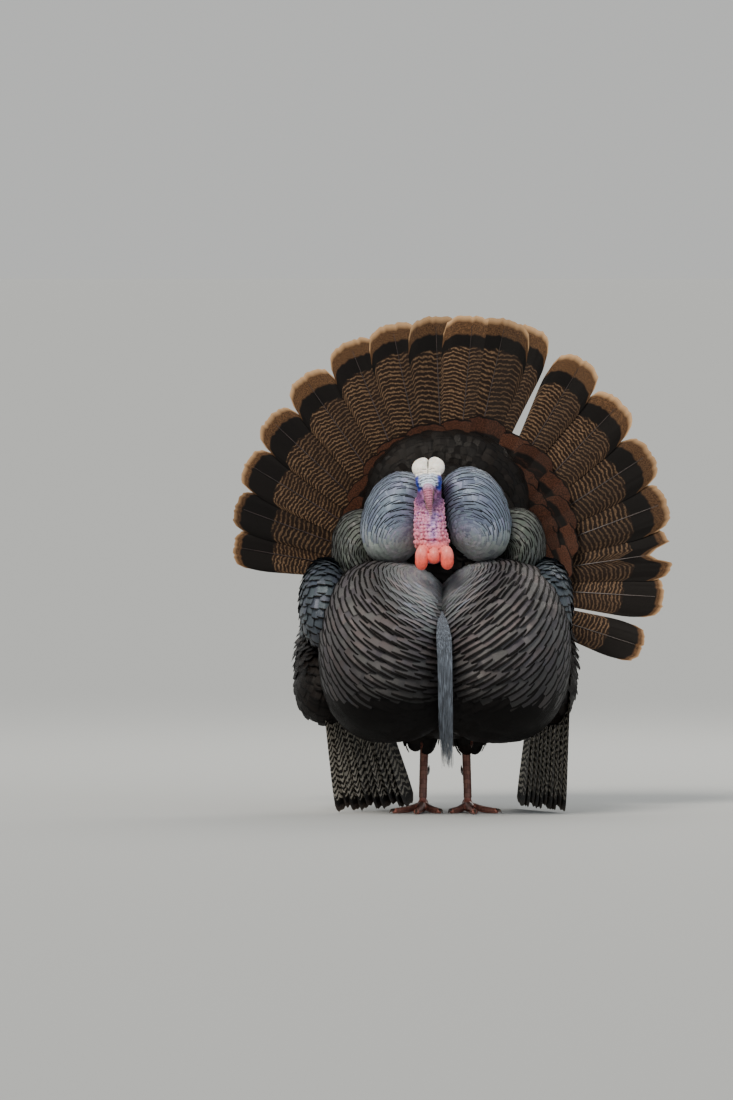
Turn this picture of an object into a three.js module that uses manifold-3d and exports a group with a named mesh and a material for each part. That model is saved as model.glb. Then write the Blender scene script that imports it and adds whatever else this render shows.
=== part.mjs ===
// A male wild turkey (Meleagris gallopavo) in full strut, life-size, as a still model.
//
// Frame: millimetres, +Z up. The bird faces -Y, so its left side is at +X. It stands on the floor,
// z = 0, with both feet and the dragging tips of its drooped wings on it. The shapes are drawn in the
// bird's own frame, whose x = 0 runs through the cleft of the breast and whose y = 0 is the ankle
// line, and the whole bird is then shifted so that its bounding box is centred on the origin.
//
// Each solid is the true outer shape of a named part, feathers included. Rounded masses of feathers
// are superellipsoids, quills are blades, the closed rows of a wing are slabs. Where two shapes
// overlap, the one listed first stays whole and the later one is cut back to a narrow gap.

import * as THREE from "three";
import { mergeVertices } from "three/addons/utils/BufferGeometryUtils.js";
import Module from "manifold-3d";

const wasm = await Module();
wasm.setup();

// ---------------------------------------------------------------- driving dimensions, millimetres
const GAP = 0.4; // between neighbouring solids
const NEEDLE = 0.08; // faces thinner than this are dropped
const CENTRING = { x: -24, y: -22 }; // brings the bounding box's centre over the origin

const HEAD = { at: [-15, -172, 541], bowDegrees: 56, rollDegrees: -6 };
const TAIL = {
  root: [16, 214, 358], // where the quills of the fan meet
  axisDegrees: 76, // the middle of the fan, counted from +X towards +Z
  halfSpreadDegrees: 93,
  longest: 440, // root to tip at the middle
  shorterAtEdge: 100,
  cupMiddleDegrees: 2, // how far the quills lean forward out of the fan's plane
  cupEdgeDegrees: 14,
  quillWidth: 91,
  quillThickness: 2,
  quillStep: 3, // each quill lies that much behind the one inside it
};
// Where each of the 18 quills points, from the bird's right round to its left. The wide step
// between the eleventh and twelfth is the open gap in the fan.
const QUILL_DEGREES = [
  169.5, 159.4, 148.5, 136.8, 124.5, 112, 102, 92.5, 84.5, 77.5, 72.2, 58.8, 46.5, 33.1, 20.8, 8.6, -3, -17.3,
];
const FOOT = {
  right: [-24, 0, 0],
  left: [48, 0, 0],
  toeOutDegrees: 7,
  ankleHeight: 14,
  hock: [0, 34, 142], // from the foot's own origin
};
const BEARD = { topWidth: 25, thickness: 11 };
const MIDLINE = 10; // x of the trunk's middle, a little to the left of the breast's cleft

const radians = THREE.MathUtils.degToRad;
const smooth = THREE.MathUtils.smoothstep;
const lerp = THREE.MathUtils.lerp;
const v3 = (x, y, z) => new THREE.Vector3(x, y, z);

// ---------------------------------------------------------------------------------- materials
function finish(color, roughness, metalness = 0) {
  return new THREE.MeshStandardMaterial({ color, roughness, metalness });
}
const FINISH = {
  bronzePlumage: finish(0x4a4644, 0.42, 0.3),
  silverPlumage: finish(0x5d6672, 0.4, 0.35),
  blackPlumage: finish(0x15110e, 0.6),
  barredPlumage: finish(0x4d3828, 0.6),
  flightPlumage: finish(0x6f6559, 0.6),
  bristle: finish(0x3a3436, 0.7),
  whiteSkin: finish(0xf1ead6, 0.5),
  pinkSkin: finish(0xb96f85, 0.5),
  redSkin: finish(0xe0574b, 0.45),
  legScale: finish(0xa8705c, 0.55),
  horn: finish(0x6b5a44, 0.4),
  darkHorn: finish(0x2a2320, 0.35),
  eye: finish(0x23130c, 0.1),
};

// -------------------------------------------------------------------- meshes, solids and cutting
function trianglesToGeometry(places, faces) {
  const geometry = new THREE.BufferGeometry();
  geometry.setAttribute("position", new THREE.Float32BufferAttribute(places, 3));
  geometry.setIndex(faces);
  return geometry;
}

function solidFrom(geometry) {
  const bare = geometry.clone();
  bare.deleteAttribute("normal");
  bare.deleteAttribute("uv");
  const merged = mergeVertices(bare, 1e-4);
  const triVerts = new Uint32Array(merged.index.array);
  const vertProperties = merged.attributes.position.array;
  let made = new wasm.Manifold(new wasm.Mesh({ numProp: 3, vertProperties, triVerts }));
  if (made.volume() < 0) {
    for (let i = 0; i < triVerts.length; i += 3)
      [triVerts[i + 1], triVerts[i + 2]] = [triVerts[i + 2], triVerts[i + 1]];
    made = new wasm.Manifold(new wasm.Mesh({ numProp: 3, vertProperties, triVerts }));
  }
  return made;
}

function geometryFrom(solid) {
  const mesh = solid.getMesh();
  const places = [];
  for (let i = 0; i < mesh.numVert; i++)
    places.push(...mesh.vertProperties.subarray(i * mesh.numProp, i * mesh.numProp + 3));
  return trianglesToGeometry(places, Array.from(mesh.triVerts));
}

// The same solid with every face moved out by that much: each corner goes to where the planes of
// the faces round it meet, and at a knife edge, where they would meet far away, only part of it.
function grown(solid, by) {
  const geometry = geometryFrom(solid);
  const { position } = geometry.attributes;
  const corners = Array.from({ length: position.count }, () => ({ a: new Array(9).fill(0), b: v3() }));
  const index = geometry.index.array;
  const face = new THREE.Triangle();
  const n = v3();
  for (let i = 0; i < index.length; i += 3) {
    face.setFromAttributeAndIndices(position, index[i], index[i + 1], index[i + 2]).getNormal(n);
    for (const corner of index.slice(i, i + 3)) {
      const { a, b } = corners[corner];
      n.toArray().forEach((p, row) => n.toArray().forEach((q, column) => (a[3 * row + column] += p * q)));
      b.addScaledVector(n, by);
    }
  }
  corners.forEach(({ a, b }, i) => {
    for (const diagonal of [0, 4, 8]) a[diagonal] += 0.02;
    const moved = b.applyMatrix3(new THREE.Matrix3().set(...a).invert());
    const p = v3().fromBufferAttribute(position, i).add(moved);
    position.setXYZ(i, p.x, p.y, p.z);
  });
  return solidFrom(geometry);
}

function joined(geometries) {
  return geometryFrom(geometries.map(solidFrom).reduce((a, b) => a.add(b)));
}

function biggestBody(solid) {
  return solid.decompose().reduce((a, b) => (a.volume() >= b.volume() ? a : b));
}

function boxesMeet(a, b) {
  const p = a.boundingBox();
  const q = b.boundingBox();
  return [0, 1, 2].every((k) => p.min[k] < q.max[k] && q.min[k] < p.max[k]);
}

// -------------------------------------------------------------------------------- basic shapes
// A rounded mass: an ellipsoid of those half-sizes, fuller than an ellipse when fullness is over 2.
function lobe(at, half, { fullness = 2.3, detail = 4, turnDegrees = [0, 0, 0] } = {}) {
  const geometry = new THREE.IcosahedronGeometry(1, detail);
  const { position } = geometry.attributes;
  const p = v3();
  for (let i = 0; i < position.count; i++) {
    p.fromBufferAttribute(position, i).normalize();
    const sum = Math.abs(p.x) ** fullness + Math.abs(p.y) ** fullness + Math.abs(p.z) ** fullness;
    p.multiplyScalar(sum ** (-1 / fullness)).multiply(v3(...half));
    position.setXYZ(i, p.x, p.y, p.z);
  }
  const turn = new THREE.Euler(...turnDegrees.map(radians), "XYZ");
  return geometry
    .applyMatrix4(new THREE.Matrix4().makeRotationFromEuler(turn))
    .translate(...at);
}

const evenly = (n) => Array.from({ length: n + 1 }, (_, i) => i / n);

// A tapered limb along a curve. sectionAt(t) gives [half-width along side, half-depth], and both
// ends close to a point. floor flattens what would reach below that height.
function limb(
  curve,
  sectionAt,
  { around = 8, along = 10, stations = evenly(along), side = v3(1, 0, 0), floor = null } = {},
) {
  const places = [];
  const faces = [];
  const rings = stations.length - 1;
  const flat = Math.cos(Math.PI / around); // the sides touch the section's ellipse, one of them below
  const put = (p) => places.push(p.x, p.y, floor === null ? p.z : Math.max(p.z, floor));
  put(curve.getPointAt(0));
  for (const t of stations.slice(1, -1)) {
    const tangent = curve.getTangentAt(t);
    const deep = v3().crossVectors(tangent, side).normalize();
    const wide = v3().crossVectors(deep, tangent).normalize();
    const [halfWidth, halfDepth] = sectionAt(t);
    for (let i = 0; i < around; i++) {
      const a = (2 * Math.PI * (i + 0.5)) / around - Math.PI / 2;
      put(
        curve
          .getPointAt(t)
          .addScaledVector(wide, (halfWidth * Math.cos(a)) / flat)
          .addScaledVector(deep, (halfDepth * Math.sin(a)) / flat),
      );
    }
  }
  put(curve.getPointAt(1));
  const last = places.length / 3 - 1;
  const ring = (j, i) => 1 + (j - 1) * around + (i % around);
  for (let i = 0; i < around; i++) {
    faces.push(0, ring(1, i + 1), ring(1, i));
    for (let j = 1; j < rings - 1; j++) {
      faces.push(ring(j, i), ring(j, i + 1), ring(j + 1, i + 1));
      faces.push(ring(j, i), ring(j + 1, i + 1), ring(j + 1, i));
    }
    faces.push(ring(rings - 1, i), ring(rings - 1, i + 1), last);
  }
  return trianglesToGeometry(places, faces);
}

// A closed slab between two sheets, each given over the unit square.
function slab(across, along, nearAt, farAt) {
  const places = [];
  const faces = [];
  for (const sheetAt of [nearAt, farAt])
    for (let j = 0; j <= along; j++)
      for (let i = 0; i <= across; i++) {
        const p = sheetAt(i / across, j / along);
        places.push(p.x, p.y, p.z);
      }
  const size = (across + 1) * (along + 1);
  const at = (i, j, far) => far * size + j * (across + 1) + i;
  const quad = (a, b, c, d) => faces.push(a, b, c, a, c, d);
  for (let j = 0; j < along; j++)
    for (let i = 0; i < across; i++) {
      quad(at(i, j, 0), at(i + 1, j, 0), at(i + 1, j + 1, 0), at(i, j + 1, 0));
      quad(at(i, j, 1), at(i, j + 1, 1), at(i + 1, j + 1, 1), at(i + 1, j, 1));
    }
  for (let i = 0; i < across; i++) {
    quad(at(i, 0, 0), at(i, 0, 1), at(i + 1, 0, 1), at(i + 1, 0, 0));
    quad(at(i, along, 0), at(i + 1, along, 0), at(i + 1, along, 1), at(i, along, 1));
  }
  for (let j = 0; j < along; j++) {
    quad(at(0, j, 0), at(0, j + 1, 0), at(0, j + 1, 1), at(0, j, 1));
    quad(at(across, j, 0), at(across, j, 1), at(across, j + 1, 1), at(across, j + 1, 0));
  }
  return trianglesToGeometry(places, faces);
}

const curveThrough = (...points) => new THREE.CatmullRomCurve3(points.map((p) => v3(...p)));

// ---------------------------------------------------------------------------------- the list
// Every part, in the order in which they cut each other, with the group that places it.
const bird = new THREE.Group();
bird.position.set(CENTRING.x, CENTRING.y, 0);
const parts = [];
const add = (name, geometry, material, group = bird) =>
  parts.push({ name, geometry, material, group });

function placed(at, turnDegrees = [0, 0, 0]) {
  const group = new THREE.Group();
  group.position.set(...at);
  group.rotation.set(...turnDegrees.map(radians));
  bird.add(group);
  return group;
}

const SIDES = [
  { name: "right", sign: -1 },
  { name: "left", sign: 1 },
];

// ------------------------------------------------------------------------------------- the head
// Drawn level, bill towards -Y, then bowed so that the bill points down in front of the throat.
const headGroup = placed(HEAD.at, [HEAD.bowDegrees, HEAD.rollDegrees, 0]);

function addHead() {
  for (const { name, sign } of SIDES)
    add(
      "eye_" + name,
      new THREE.IcosahedronGeometry(6.2, 1).translate(sign * 14.6, -11, 3),
      FINISH.eye,
      headGroup,
    );
  add(
    "head",
    joined([
      lobe([0, -2, 0], [17.5, 32, 20], { detail: 1 }),
      lobe([0, -20, 2], [13, 18, 13], { detail: 1 }),
      ...SIDES.map(({ sign }) => lobe([sign * 9.5, 2, 17], [15.5, 27, 11.5], { detail: 1 })),
    ]),
    FINISH.whiteSkin,
    headGroup,
  );
  add(
    "snood",
    limb(
      curveThrough([0, -30, 15], [0.5, -42, 15], [1, -54, 10], [1.5, -64, 2]),
      (t) => [lerp(8.5, 2.6, t) * Math.sqrt(smooth(t, 0, 0.12)), lerp(6, 2.2, t)],
      { around: 6, along: 7 },
    ),
    FINISH.pinkSkin,
    headGroup,
  );
  add(
    "bill_upper",
    limb(
      curveThrough([0, -24, 2], [0, -42, 3], [0, -56, 0], [0, -65, -7]),
      (t) => [lerp(11, 1.6, t ** 1.2), lerp(8, 1.8, t)],
      { around: 6, along: 6 },
    ),
    FINISH.horn,
    headGroup,
  );
  add(
    "bill_lower",
    limb(
      curveThrough([0, -22, -10], [0, -40, -9], [0, -57, -9]),
      (t) => [lerp(9.5, 1.8, t), lerp(4.6, 1.4, t)],
      { around: 6, along: 5 },
    ),
    FINISH.horn,
    headGroup,
  );
}

// --------------------------------------------------------------------------- neck and caruncles
function addNeck() {
  add(
    "neck",
    limb(
      curveThrough([-13, -118, 540], [-15, -158, 505], [-14, -176, 465], [-10, -178, 425], [-7, -160, 380]),
      (t) => [lerp(21, 28, smooth(t, 0.1, 0.8)), lerp(24, 30, t)].map((r) => r * smooth(t, -0.35, 0.12)),
      { around: 8, along: 7 },
    ),
    FINISH.pinkSkin,
  );
  const caruncles = [
    ["right", -26.5, 411, 11.5, 22],
    ["middle", -7, 413, 10, 14],
    ["left", 13.5, 411, 11.5, 20],
  ];
  for (const [name, x, z, halfWidth, halfHeight] of caruncles)
    add("caruncle_" + name, lobe([x, -214, z], [halfWidth, 11, halfHeight], { detail: 1 }), FINISH.redSkin);
}

// ------------------------------------------------------------------------------------ the beard
function addBeard() {
  add(
    "beard",
    limb(
      curveThrough([4, -190, 326], [8, -236, 290], [10, -250, 240], [11, -246, 170], [14, -234, 76]),
      (t) => [
        (BEARD.topWidth / 2) * Math.min(0.25 + 3.2 * t, lerp(1, 0.72, t)) * (1 - 0.5 * smooth(t, 0.9, 1)),
        (BEARD.thickness / 2) * (1 - 0.5 * t),
      ],
      { around: 6, along: 9 },
    ),
    FINISH.bristle,
  );
}

// ------------------------------------------------------------------------------- legs and feet
const TOES = [
  { name: "inner", degrees: 33, length: 60, radius: 6.4, claw: 13 },
  { name: "middle", degrees: 0, length: 84, radius: 7, claw: 15 },
  { name: "outer", degrees: -35, length: 68, radius: 6.2, claw: 13 },
  { name: "hind", degrees: 172, length: 30, radius: 5, claw: 12 },
];

function addLeg({ name, sign }) {
  const foot = placed(FOOT[name], [0, 0, sign * FOOT.toeOutDegrees]);
  const [hockX, hockY, hockZ] = FOOT.hock;
  const toes = [];
  for (const toe of TOES) {
    // Towards the midline for the inner toe, forward for the middle one.
    const a = radians(toe.degrees) * -sign;
    const forward = v3(Math.sin(a), -Math.cos(a), 0);
    const side = v3(Math.cos(a), Math.sin(a), 0);
    const hind = toe.name === "hind";
    const startHeight = hind ? 22 : FOOT.ankleHeight - 2;
    const tipHeight = toe.radius * 0.62;
    const tip = forward.clone().multiplyScalar(toe.length).setZ(tipHeight);
    const middle = forward.clone().multiplyScalar(toe.length * 0.5).setZ(hind ? 16 : tipHeight + 2);
    const path = new THREE.CatmullRomCurve3([v3(0, 0, startHeight), middle, tip]);
    const pads = (t) => 1 + 0.13 * Math.cos(t * Math.PI * 6);
    toes.push(
      limb(path, (t) => [toe.radius * pads(t) * (1 - 0.3 * t), toe.radius * (1.05 - 0.3 * t)], {
        around: 6,
        along: 5,
        side,
        floor: 0,
      }),
    );
    const clawBase = forward.clone().multiplyScalar(toe.length - 5).setZ(tipHeight + 1.2);
    const clawMiddle = forward.clone().multiplyScalar(toe.length + toe.claw * 0.5).setZ(tipHeight + 1.8);
    const clawTip = forward.clone().multiplyScalar(toe.length + toe.claw).setZ(0.6);
    const claw = limb(
      new THREE.CatmullRomCurve3([clawBase, clawMiddle, clawTip]),
      (t) => [lerp(3.1, 0.5, t), lerp(3.4, 0.6, t)],
      { around: 5, along: 4, side, floor: 0.3 },
    );
    add(`claw_${toe.name}_${name}`, claw, FINISH.darkHorn, foot);
  }
  const spur = limb(
    curveThrough([-sign * 2, 14, 60], [-sign * 5, 27, 64], [-sign * 6, 36, 75]),
    (t) => [lerp(4.6, 0.4, t), lerp(4.6, 0.4, t)],
    { around: 5, along: 4 },
  );
  add("spur_" + name, spur, FINISH.darkHorn, foot);
  const ankle = lobe([0, 0, 11], [9.5, 11, 11], { detail: 1 });
  const { position } = ankle.attributes;
  for (let i = 0; i < position.count; i++) position.setZ(i, Math.max(position.getZ(i), 0));
  add("foot_" + name, joined([...toes, ankle]), FINISH.legScale, foot);
  add(
    "thigh_" + name,
    limb(
      curveThrough([0, 30, 92], [0, 32, 130], [0, 22, 180], [sign * 6, 4, 240]),
      (t) =>
        [lerp(9, 46, smooth(t, 0, 0.75)), lerp(11, 56, smooth(t, 0, 0.75))].map(
          (r) => r * smooth(t, -0.5, 0.1),
        ),
      { around: 8, along: 6 },
    ),
    FINISH.blackPlumage,
    foot,
  );
  add(
    "shank_" + name,
    limb(
      curveThrough(
        [0, 0, 10],
        [0, 6, 45],
        [hockX, hockY * 0.6, 98],
        [hockX, hockY, hockZ],
        [hockX, hockY - 6, hockZ + 16],
      ),
      (t) => [6.4 + 2.6 * smooth(t, 0.6, 0.95), 8 + 2.4 * smooth(t, 0.6, 0.95)],
      { around: 6, along: 9 },
    ),
    FINISH.legScale,
    foot,
  );
}

// ------------------------------------------------------------------------------------ the tail
// How far from the middle of the fan a direction is, from 0 to 1 at its edges.
function offAxis(degrees) {
  return Math.abs(degrees - TAIL.axisDegrees) / TAIL.halfSpreadDegrees;
}

// The direction of a quill, leaning forward out of the fan's plane.
function quillDirection(degrees) {
  const cup = radians(lerp(TAIL.cupMiddleDegrees, TAIL.cupEdgeDegrees, offAxis(degrees) ** 2));
  const a = radians(degrees);
  return v3(Math.cos(a) * Math.cos(cup), -Math.sin(cup), Math.sin(a) * Math.cos(cup));
}

function quillLength(degrees) {
  const cup = radians(lerp(TAIL.cupMiddleDegrees, TAIL.cupEdgeDegrees, offAxis(degrees) ** 2));
  const uneven = 1 + 0.03 * Math.sign(degrees - TAIL.axisDegrees) * smooth(offAxis(degrees), 0.05, 0.4);
  return (uneven * (TAIL.longest - TAIL.shorterAtEdge * offAxis(degrees) ** 1.35)) / Math.cos(cup);
}

function addTail() {
  const fan = placed(TAIL.root);
  const firstTip = 24; // where a quill leaves the flesh, from the root
  const quills = QUILL_DEGREES.map((degrees, n) => {
    const direction = quillDirection(degrees);
    const acrossFan = quillDirection(degrees + 1).sub(quillDirection(degrees - 1));
    const length = quillLength(degrees);
    // The middle quills lie in front, and each outer one behind the one inside it.
    const behind = TAIL.quillStep * Math.abs(n - 8.5);
    const width = TAIL.quillWidth * (1 - 0.29 * offAxis(degrees));
    const blade = (t) => {
      const tip = Math.max(0, (t - 0.9) / 0.1);
      return (width / 2) * lerp(0.14, 1, smooth(t, 0, 0.8)) * Math.sqrt(1 - tip ** 2.6);
    };
    const start = direction.clone().multiplyScalar(firstTip).add(v3(0, behind, 0));
    const end = direction.clone().multiplyScalar(length).add(v3(0, behind, 0));
    return limb(new THREE.LineCurve3(start, end), (t) => [blade(t), TAIL.quillThickness / 2], {
      around: 4,
      stations: [0, 0.02, 0.45, 0.8, 0.94, 0.985, 1],
      side: acrossFan,
    });
  });
  const stump = lobe([0, 13, 0], [44, 20, 36], { detail: 1 });
  add("tail_fan", joined([stump, ...quills]), FINISH.barredPlumage, fan);

  // The upper tail coverts: a second, shorter fan laid over the front of the first.
  const coverts = (u, v, depth) => {
    const degrees = lerp(-24, 176, u);
    const scallop = 7 * Math.abs(Math.sin(u * Math.PI * 10));
    const reach = 282 - 46 * Math.min(1.6, offAxis(degrees) * 1.86) ** 1.5 - 7 + scallop;
    const r = lerp(50, reach, v);
    const thickness = lerp(24, 3.5, v);
    return quillDirection(degrees)
      .multiplyScalar(r)
      .add(v3(0, -2.2 - depth * thickness, 0));
  };
  add(
    "tail_coverts",
    slab(20, 3, (u, v) => coverts(u, v, 0), (u, v) => coverts(u, v, 1)),
    FINISH.barredPlumage,
    fan,
  );

  // The under tail coverts, behind the fan and hanging to the vent.
  const under = (u, v, depth) => {
    const degrees = lerp(-20, 172, u);
    const r = lerp(46, 205 - 55 * offAxis(degrees), v);
    const puff = 46 * Math.sqrt(Math.max(0, 1 - v ** 2.4)) + 4;
    return quillDirection(degrees)
      .multiplyScalar(r)
      .add(v3(0, 6 + 10 * TAIL.quillStep * offAxis(degrees) + depth * puff, 0));
  };
  add(
    "undertail",
    joined([
      slab(12, 2, (u, v) => under(u, v, 0), (u, v) => under(u, v, 1)),
      lobe([-4, 30, -70], [88, 50, 80], { detail: 1, turnDegrees: [-18, 0, 0] }),
    ]),
    FINISH.blackPlumage,
    fan,
  );
}

// -------------------------------------------------------------------------- the feathered masses
function addTrunk() {
  const vent = lobe([MIDLINE + 2, 150, 262], [122, 92, 106], { detail: 1 });
  add("belly", joined([lobe([MIDLINE, 14, 240], [160, 150, 120], { detail: 2 }), vent]), FINISH.blackPlumage);
  const nape = lobe([-6, -52, 470], [52, 86, 62], { detail: 1 });
  add("back", joined([lobe([8, 34, 400], [122, 150, 150], { detail: 1 }), nape]), FINISH.blackPlumage);
  add("rump", lobe([14, 122, 478], [127, 84, 124], { detail: 2 }), FINISH.blackPlumage);
}

function addPlumage() {
  const breast = { detail: 3, fullness: 2.4 };
  add("breast_right", lobe([-76, -76, 262], [110, 176, 143], breast), FINISH.bronzePlumage);
  add("breast_left", lobe([92, -76, 262], [115, 176, 143], breast), FINISH.bronzePlumage);
  const leaning = (degrees) => ({ detail: 2, fullness: 2.15, turnDegrees: [0, degrees, 0] });
  add("mantle_right", lobe([-66, -82, 471], [53, 92, 75], leaning(18)), FINISH.silverPlumage);
  add("mantle_left", lobe([58, -82, 477], [54, 92, 76], leaning(-18)), FINISH.silverPlumage);
  add("scapulars_right", lobe([-121, 6, 419], [47, 112, 64], { detail: 2 }), FINISH.silverPlumage);
  add("scapulars_left", lobe([125, 6, 421], [46, 112, 64], { detail: 2 }), FINISH.silverPlumage);
}

// ------------------------------------------------------------------------------------ the wings
// The drooped quills of each wing, as the line from root to tip of the first and the last of them.
const WING = {
  right: {
    shoulder: [-179, -48, 332],
    flank: [-181, 40, 230],
    primaries: [
      [[-180, -50, 236], [-152, -20, 12]],
      [[-118, 92, 240], [-46, 140, 12]],
    ],
    secondaries: [
      [[-192, 4, 216], [-168, 168, 112]],
      [[-158, 70, 338], [-138, 206, 262]],
    ],
  },
  left: {
    shoulder: [173, -48, 332],
    flank: [175, 40, 230],
    primaries: [
      [[205, -50, 236], [196, -20, 12]],
      [[160, 84, 250], [138, 128, 12]],
    ],
    secondaries: [
      [[189, 4, 216], [176, 168, 112]],
      [[152, 70, 338], [132, 206, 262]],
    ],
  },
};

// A closed row of quills between its first and its last, notched between their square tips.
function quillRow([first, last], { count, notch, bow, thickness, sign, notchAxis }) {
  const edges = [first, last].map((ends) => ends.map((p) => v3(...p)));
  const at = (u, v, depth) => {
    const [root, tip] = [0, 1].map((end) => edges[0][end].clone().lerp(edges[1][end], u));
    if (Math.round(3 * count * u) % 3) tip[notchAxis] -= notch;
    const p = root.lerp(tip, v);
    p.x += sign * (bow * Math.sin(v * Math.PI) - depth * lerp(thickness, 3, v));
    return p;
  };
  return slab(3 * count, 2, (u, v) => at(u, v, 0), (u, v) => at(u, v, 1));
}

function addWing({ name, sign }) {
  const { shoulder, flank, primaries, secondaries } = WING[name];
  const rounded = [
    lobe(shoulder, [41, 86, 74], { detail: 2, fullness: 2.2 }),
    lobe([shoulder[0], 30, 290], [40, 70, 62], { detail: 1 }),
    lobe(flank, [43, 128, 74], { detail: 1, turnDegrees: [16, 0, 0] }),
  ];
  add("wing_" + name, joined(rounded), FINISH.silverPlumage);
  const row = { sign, thickness: 9 };
  add(
    "primaries_" + name,
    quillRow(primaries, { ...row, count: 8, notch: 12, bow: 6, notchAxis: "z" }),
    FINISH.flightPlumage,
  );
  add(
    "secondaries_" + name,
    quillRow(secondaries, { ...row, count: 6, notch: 7, bow: 16, notchAxis: "y" }),
    FINISH.flightPlumage,
  );
}

// ---------------------------------------------------------------------------- putting it together
addTrunk();
addPlumage();
SIDES.forEach(addWing);
SIDES.forEach(addLeg);
addHead();
addNeck();
addBeard();
addTail();

const model = new THREE.Group();
model.add(bird);
model.updateMatrixWorld(true);

const whole = []; // each part as drawn, grown by the gap, in world space
for (const { name, geometry, material, group } of parts) {
  let solid = solidFrom(geometry.clone().applyMatrix4(group.matrixWorld));
  const uncut = solid;
  for (const other of whole) if (boxesMeet(solid, other)) solid = solid.subtract(other);
  whole.push(grown(uncut, GAP));
  // The cuts leave needles of faces, which are dropped where that moves nothing visibly.
  const kept = biggestBody(solid).asOriginal().simplify(NEEDLE);
  const mesh = new THREE.Mesh(geometryFrom(kept), material);
  mesh.geometry.applyMatrix4(group.matrixWorld.clone().invert());
  mesh.name = name;
  group.add(mesh);
}

export default model;
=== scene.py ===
# %% [markdown]
# A life-size wild turkey, a male in full strut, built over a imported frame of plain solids.
#
# Everything is drawn in the bird's own frame, in millimetres: x = 0 runs through the cleft of the
# breast, y = 0 is the line of the ankles, z = 0 is the floor, and the bird faces -Y. One function
# turns such a place into the scene's metres. The frame gives the sizes to hold to.

# %% Load the frame
import math

import bmesh
import bpy
import numpy as np
from mathutils import Matrix, Vector, noise

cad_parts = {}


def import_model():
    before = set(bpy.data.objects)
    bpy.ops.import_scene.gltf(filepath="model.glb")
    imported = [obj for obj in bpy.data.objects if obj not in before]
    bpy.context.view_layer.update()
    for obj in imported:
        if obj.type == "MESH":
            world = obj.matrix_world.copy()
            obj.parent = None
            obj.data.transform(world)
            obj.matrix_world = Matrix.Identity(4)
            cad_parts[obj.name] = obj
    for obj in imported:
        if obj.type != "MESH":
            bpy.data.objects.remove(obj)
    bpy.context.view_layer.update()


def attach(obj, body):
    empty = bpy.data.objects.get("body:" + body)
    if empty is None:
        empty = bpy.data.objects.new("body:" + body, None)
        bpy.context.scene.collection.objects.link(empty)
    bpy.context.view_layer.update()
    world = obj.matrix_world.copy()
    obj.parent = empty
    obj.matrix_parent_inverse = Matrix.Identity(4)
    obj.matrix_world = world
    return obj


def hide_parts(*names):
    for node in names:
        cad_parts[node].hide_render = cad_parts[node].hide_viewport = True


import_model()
MM = 0.001
CENTRING = np.array([-24.0, -22.0, 0.0])  # from the bird's own frame to the middle of its box


def world(places):
    """Places in the bird's frame, in millimetres, as places in the scene, in metres."""
    return (np.asarray(places, float) + CENTRING) * MM


# %% [markdown]
# The camera comes first, because every later choice is looked at through it. A long lens from far
# away and from eye level keeps the fan of the tail and the breast at nearly the same scale.

# %% Camera
CAMERA_AT = (-0.138, -22.0, 0.9)
CAMERA_AIM = (-0.138, 0.0, 0.419)
LENS, SENSOR_HEIGHT = 300.0, 24.0  # mm


def aimed(at, aim):
    """The turn that points a camera or a lamp from one place to another."""
    return (Vector(aim) - Vector(at)).to_track_quat("-Z", "Y").to_euler()


camera_data = bpy.data.cameras.new("long lens")
camera_data.sensor_fit = "VERTICAL"
camera_data.sensor_height = SENSOR_HEIGHT
camera_data.lens = LENS
camera_data.clip_end = 1000.0
camera = bpy.data.objects.new("camera", camera_data)
bpy.context.scene.collection.objects.link(camera)
camera.location = CAMERA_AT
camera.rotation_euler = aimed(CAMERA_AT, CAMERA_AIM)
bpy.context.scene.camera = camera
print("camera", [round(math.degrees(angle), 2) for angle in camera.rotation_euler])

# %% [markdown]
# A material is a small graph of nodes. One function adds any node, with its settings and with what
# goes into each socket, and gives back the socket that comes out. Colours are written as sRGB hex,
# as on a paint card, and another function turns them into the linear values that light adds up in.


# %% Colour and node helpers
def linear(hex_colour):
    """An sRGB hex colour as linear red, green, blue and alpha."""
    parts = [int(hex_colour[i : i + 2], 16) / 255 for i in (1, 3, 5)]
    return [c / 12.92 if c <= 0.04045 else ((c + 0.055) / 1.055) ** 2.4 for c in parts] + [1.0]


def put(tree, kind, inputs=None, stops=None, output=0, **settings):
    """Adds a node to the tree, sets it, links it, and returns one of its outputs."""
    made = tree.nodes.new(kind)
    for name, value in settings.items():
        setattr(made, name, value)
    if stops:
        ramp = made.color_ramp
        while len(ramp.elements) < len(stops):
            ramp.elements.new(0.5)
        for element, (place, colour) in zip(ramp.elements, stops):
            element.position = place
            element.color = linear(colour)
    for key, value in (inputs or {}).items():
        if isinstance(value, bpy.types.NodeSocket):
            tree.links.new(value, made.inputs[key])
        else:
            made.inputs[key].default_value = value
    return made.outputs[output] if made.outputs else made


def new_material(name):
    """An empty material and its tree."""
    made = bpy.data.materials.new(name)
    made.use_nodes = True
    made.node_tree.nodes.clear()
    return made, made.node_tree


def surface(tree, inputs):
    """Ends a tree in a Principled shader with those inputs."""
    shader = put(tree, "ShaderNodeBsdfPrincipled", inputs)
    put(tree, "ShaderNodeOutputMaterial", {"Surface": shader})


# %% [markdown]
# The studio is a plain pale floor under a pale sky. A wide sun in front and above, as through thin
# cloud, models the breast. A weaker and wider one fills the other side, and a soft lamp behind the
# fan catches its fringes.

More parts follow.
